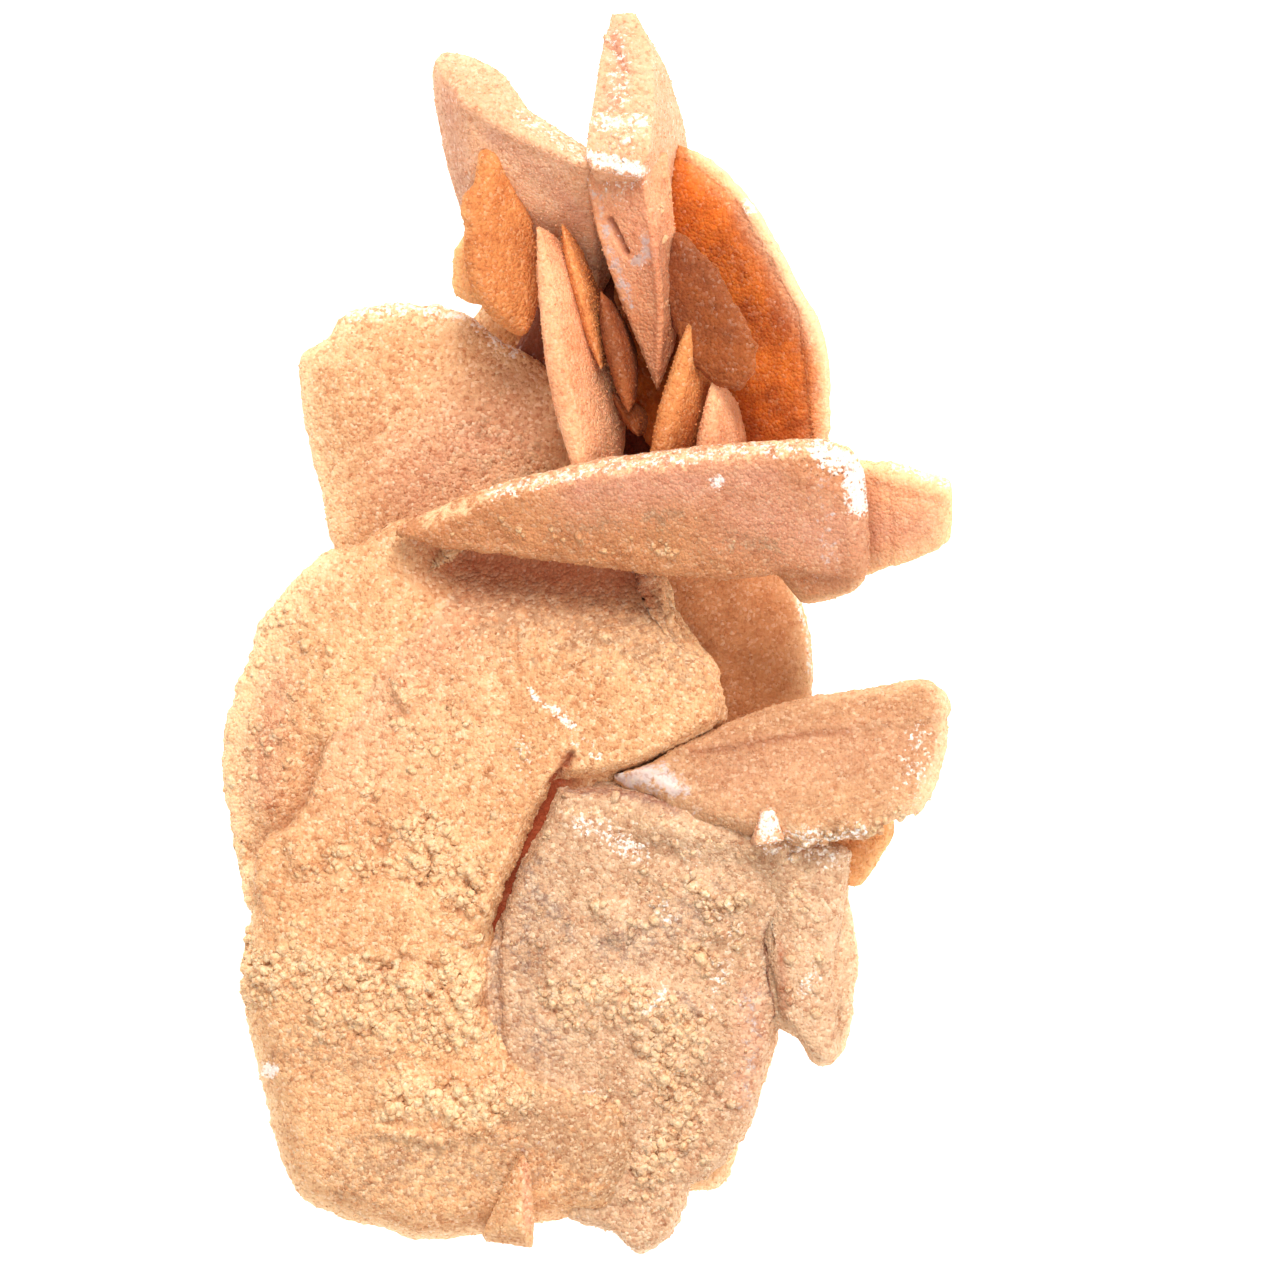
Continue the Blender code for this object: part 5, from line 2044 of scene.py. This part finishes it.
    def others(self) -> list[Blade]:
        """The strip, the lobe and the flakes at the right.

        Returns:
            The blades.
        """
        return [
            plate(
                "right_strip", height=30.4, lean=(0.07, 0.08), middle=7.0, rim=4.0, slope=4.0,
                tone=Tone.TAN, front_slope=1.2, rough=0.3,
                outline=(
                    (17, -27), (27, -25.4), (33.2, -26.8), (32.6, -31), (32, -35), (31.4, -40),
                    (32, -45), (32.2, -49.5), (31.4, -52.8), (30.2, -54), (28.6, -53.4),
                    (26.6, -50.8), (24.3, -48), (23.3, -43), (22.4, -38.6), (20.8, -36), (17, -35),
                ),
                strokes=(
                    Work.GROOVE(4.0, 2.6, (17, -29), (17.5, -33), (20.4, -35.6)),
                    Work.CRUST(3.0, 0.5, (27, -28), (28, -44)),
                    Work.YELLOW(2.0, 0.6, (26, -28), (27, -40)),
                    Work.POWDER(1.3, 0.55, (26.8, -44.6), (28.2, -43)),
                    Work.POWDER(2.4, 0.5, (24, -26), (31, -28)),
                    Work.GLASS(3.5, 0.28, (28.5, -29), (28.5, -48)),
                    # Painted shade by the crevice at the strip's left edge.
                    Work.DARK(0.6, 0.4, (24, -39), (24.8, -46.6)),
                    Work.GROOVE(2.5, 0.8, (32, -43), (33, -50)),
                ),
            ),
            plate(
                "fan_splinter", height=28.0, lean=(0.0, 0.0), middle=5.0, rim=1.8, slope=3.0,
                tone=Tone.AMBER,
                outline=(
                    (36, -20), (38.4, -23.4), (38, -26), (36.6, -28), (35.2, -30.6), (34, -31.9),
                    (31, -31), (28, -26), (30, -20),
                ),
            ),
            plate(
                "right_lobe", height=24.8, lean=(0.14, 0.03), middle=7.0, rim=self.plate_rim,
                slope=4.0, tone=Tone.TAN, rough=0.26,
                outline=(
                    (28, -27), (32.8, -29), (32.5, -32.5), (33.2, -36.5), (34, -41), (33.4, -45),
                    (33, -49.5), (32, -52.3), (30.8, -53.9), (29.4, -54.3), (28, -53.4),
                    (26.4, -50.4), (22, -49), (21, -40), (23, -30),
                ),
                strokes=(Work.YELLOW(1.6, 0.5, (32.6, -36), (33.4, -44), (31.8, -51)),),
            ),
            plate(
                "side_flake", height=23.0, lean=(0.0, 0.0), middle=8.0, rim=self.flake_rim,
                slope=self.flake_slope, tone=Tone.TAN,
                outline=(
                    (24, -50.6), (22.9, -53.6), (22, -56.4), (20.9, -60.9), (19.5, -62.1),
                    (15, -62), (12, -52), (15, -42), (23, -42),
                ),
            ),
            plate(
                "low_flake", height=20.0, lean=(0.0, 0.0), middle=7.0, rim=self.flake_rim,
                slope=self.flake_slope,
                outline=(
                    (20.6, -60.8), (19.4, -62.2), (18.9, -64.5), (17.6, -68.3), (16, -69.8),
                    (12.8, -70), (6, -70), (5, -58), (14, -52), (19, -55),
                ),
            ),
        ]

    def tooth(self) -> Block:
        """The small tooth at the bottom edge.

        Returns:
            The block.
        """
        hulls = (
            (
                (-8, -64.8, 33), (-10.6, -69.6, 32), (-13.2, -75.2, 30), (-12.8, -76.2, 29),
                (-7, -67, 32.5), (-6.6, -72.8, 32), (-6.8, -76.8, 31.5), (-8.8, -74, 34),
                (-9, -67, 20), (-12, -75.5, 20), (-7.2, -75.5, 20),
            ),
        )
        strokes = (Work.PINK(0.6, 0.8, (-7.6, -66), (-7.4, -74)),)
        return Block("tooth", hulls=hulls, rough=0.3, lumps=0.3, clear=0.5, strokes=strokes)

    def crystals(self) -> list[Crystal]:
        """All of the lower crystals."""
        plates = [self.broad_plate(), self.front_layer(), self.foot_plate(), self.right_block()]
        return [*plates, self.fan(), self.fan_stub(), *self.others(), self.tooth()]


@dataclass
class Back(Cluster):
    """The blades behind, on which the rose rests."""

    name: str = "back"
    front_density: float = 0.8
    back_density: float = 1.2
    disc_middle: float = 8.0
    disc_rim: float = 2.0
    disc_slope: float = 9.0
    rest_bulge: float = 4.0
    rest_rim: float = 2.4
    cross_bulge: float = 3.0
    cross_middle: float = 4.5
    cross_rim: float = 1.8
    ragged: float = 0.5
    rough: float = 0.3
    lumps: float = 1.2

    def worn(self, **sizes: float) -> dict[str, float]:
        """The sizes of one kind of blade, with how rough all of the back's blades are."""
        return {"ragged": self.ragged, "rough": self.rough, "lumps": self.lumps, **sizes}

    def discs(self) -> list[Blade]:
        """The round blades behind the others.

        Returns:
            The blades.
        """
        rim = self.disc_rim
        behind = self.worn(middle=self.disc_middle, rim=rim, slope=self.disc_slope)
        return [
            disc(
                "inner_disc", centre=(-8, -36), radii=(32.0, 33.0), height=15.5, lean=(0.05, 0.05),
                **self.worn(middle=13.0, rim=rim, slope=12.0),
            ),
            disc(
                "waist_disc", centre=(2, 2), radii=(23.0, 22.0), height=13.0, lean=(-0.1, 0.05),
                middle=12.0, rim=rim, slope=self.disc_slope, tone=Tone.BROWN,
            ),
            disc("low_back_disc", (-7, -45), (28.0, 27.0), height=5.5, lean=(-0.16, 0.3), **behind),
            disc("mid_back_disc", (-4, -9), (27.0, 24.0), height=6.5, lean=(0.14, -0.28), **behind),
            disc("top_back_disc", (4, 29), (21.0, 24.0), height=6.5, lean=(0.12, 0.2), **behind),
        ]

    def rests(self) -> list[Blade]:
        """The three blades whose worn rims carry the rose.

        Returns:
            The blades.
        """
        worn = self.worn(bulge=self.rest_bulge, rim=self.rest_rim)
        return [
            fin(
                "left_rest", tip=(-37, -52, 12), foot=(-10, -8, 12), lean=(0.3, -0.2), depth=21.0,
                middle=6.0, **worn,
            ),
            fin(
                "right_rest", tip=(13, -66, 12), foot=(14, -12, 12), lean=(-0.25, 0.1), depth=22.0,
                middle=6.0, **worn,
            ),
            fin(
                "top_rest", tip=(-13, 12, 12), foot=(17, 52, 14), lean=(0.2, 0.25), depth=21.5,
                middle=5.5, **worn,
            ),
        ]

    def crossings(self) -> list[Blade]:
        """The blades that run across the rests.

        Returns:
            The blades.
        """
        worn = self.worn(bulge=self.cross_bulge, middle=self.cross_middle, rim=self.cross_rim)
        return [
            fin("cross_back", (24, 2, 11), (-12, 34, 11), lean=(-0.3, 0.3), depth=14.0, **worn),
            fin("low_cross", (-32, -34, 10), (24, -42, 10), lean=(0.0, 0.7), depth=14.0, **worn),
            fin("waist_cross", (-24, 6, 12), (18, -14, 12), lean=(0.2, -0.7), depth=16.0, **worn),
        ]

    def crystals(self) -> list[Crystal]:
        """All of the back's crystals."""
        return [*self.discs(), *self.rests(), *self.crossings()]


@dataclass(frozen=True)
class Studio:
    """A pale floor under soft light, with the camera looking straight down on the rose."""

    floor_width: float = 4.0
    floor_drop: float = 0.0003
    floor_glow: float = 0.75
    floor_colour: tuple[float, float, float, float] = (0.92, 0.92, 0.92, 1.0)
    sky_glow: float = 0.4
    camera_height: float = 3.0
    sensor: float = 36.0

    def floor(self) -> None:
        """Lays the pale floor."""
        half = self.floor_width / 2.0
        corners = [(-half, -half), (half, -half), (half, half), (-half, half)]
        mesh = bpy.data.meshes.new("floor")
        mesh.from_pydata([(x, y, -self.floor_drop) for x, y in corners], [], [(0, 1, 2, 3)])
        made = show("floor", mesh)
        finish, bench = blank_finish("pale_floor")
        values = {
            "Base Color": self.floor_colour,
            "Roughness": 0.9,
            "Specular IOR Level": 0.1,
            "Emission Color": WHITE,
            "Emission Strength": self.floor_glow,
        }
        shader = bench.node("ShaderNodeBsdfPrincipled", {}, values)
        bench.node("ShaderNodeOutputMaterial", {}, {"Surface": shader.outputs[0]})
        mesh.materials.append(finish)

    def lamp(self, name: str, place: Place, width: float, power: float, warm: Colour) -> None:
        """Hangs one soft square lamp that faces the rose.

        Args:
            name: The lamp's name.
            place: Where it hangs, in metres.
            width: Its side, in metres.
            power: Its power, in watts.
            warm: Its colour.
        """
        light = bpy.data.lights.new(name, "AREA")
        light.size = width
        light.energy = power
        light.color = warm
        made = show(name, light)
        made.location = place
        made.rotation_euler = (-Vector(place)).to_track_quat("-Z", "Y").to_euler()

    def camera(self) -> None:
        """Sets the camera over the rose, so far up that it sees it almost without perspective."""
        data = bpy.data.cameras.new("camera")
        middle = (FRAME_CENTRE - ORIGIN) * MM
        data.sensor_width = self.sensor
        data.lens = self.sensor * (self.camera_height - middle.z) / (FRAME_WIDTH * MM)
        data.clip_end = 10.0 * self.camera_height
        made = show("camera", data)
        made.location = (middle.x, middle.y, self.camera_height)
        bpy.context.scene.camera = made

    def build(self) -> None:
        """Sets up the whole studio."""
        self.floor()
        self.lamp("key", (0.0, 1.15, 1.25), width=0.8, power=32.5, warm=(1.0, 0.97, 0.94))
        self.lamp("fill", (1.1, -0.3, 0.8), width=0.8, power=7.0, warm=(1.0, 0.97, 0.94))
        self.lamp("front", (0.1, -0.8, 1.7), width=1.2, power=16.0, warm=(1.0, 0.98, 0.97))
        self.camera()
        scene = bpy.context.scene
        scene.view_settings.view_transform = "Standard"
        world = bpy.data.worlds.new("studio")
        world.use_nodes = True
        sky = world.node_tree.nodes["Background"]
        sky.inputs["Color"].default_value = WHITE
        sky.inputs["Strength"].default_value = self.sky_glow
        scene.world = world


def main() -> None:
    """Builds the rose, group by group, and its studio."""
    logging.basicConfig(level=logging.INFO, format="%(message)s")
    shop = Workshop()
    total = 0
    for cluster in (Crown(), Middle(), Lower(), Back()):
        made = cluster.make(shop)
        log.info("%s: %d triangles", cluster.name, made)
        total += made
    log.info("the whole rose: %d triangles", total)
    Studio().build()


if __name__ == "__main__":
    main()
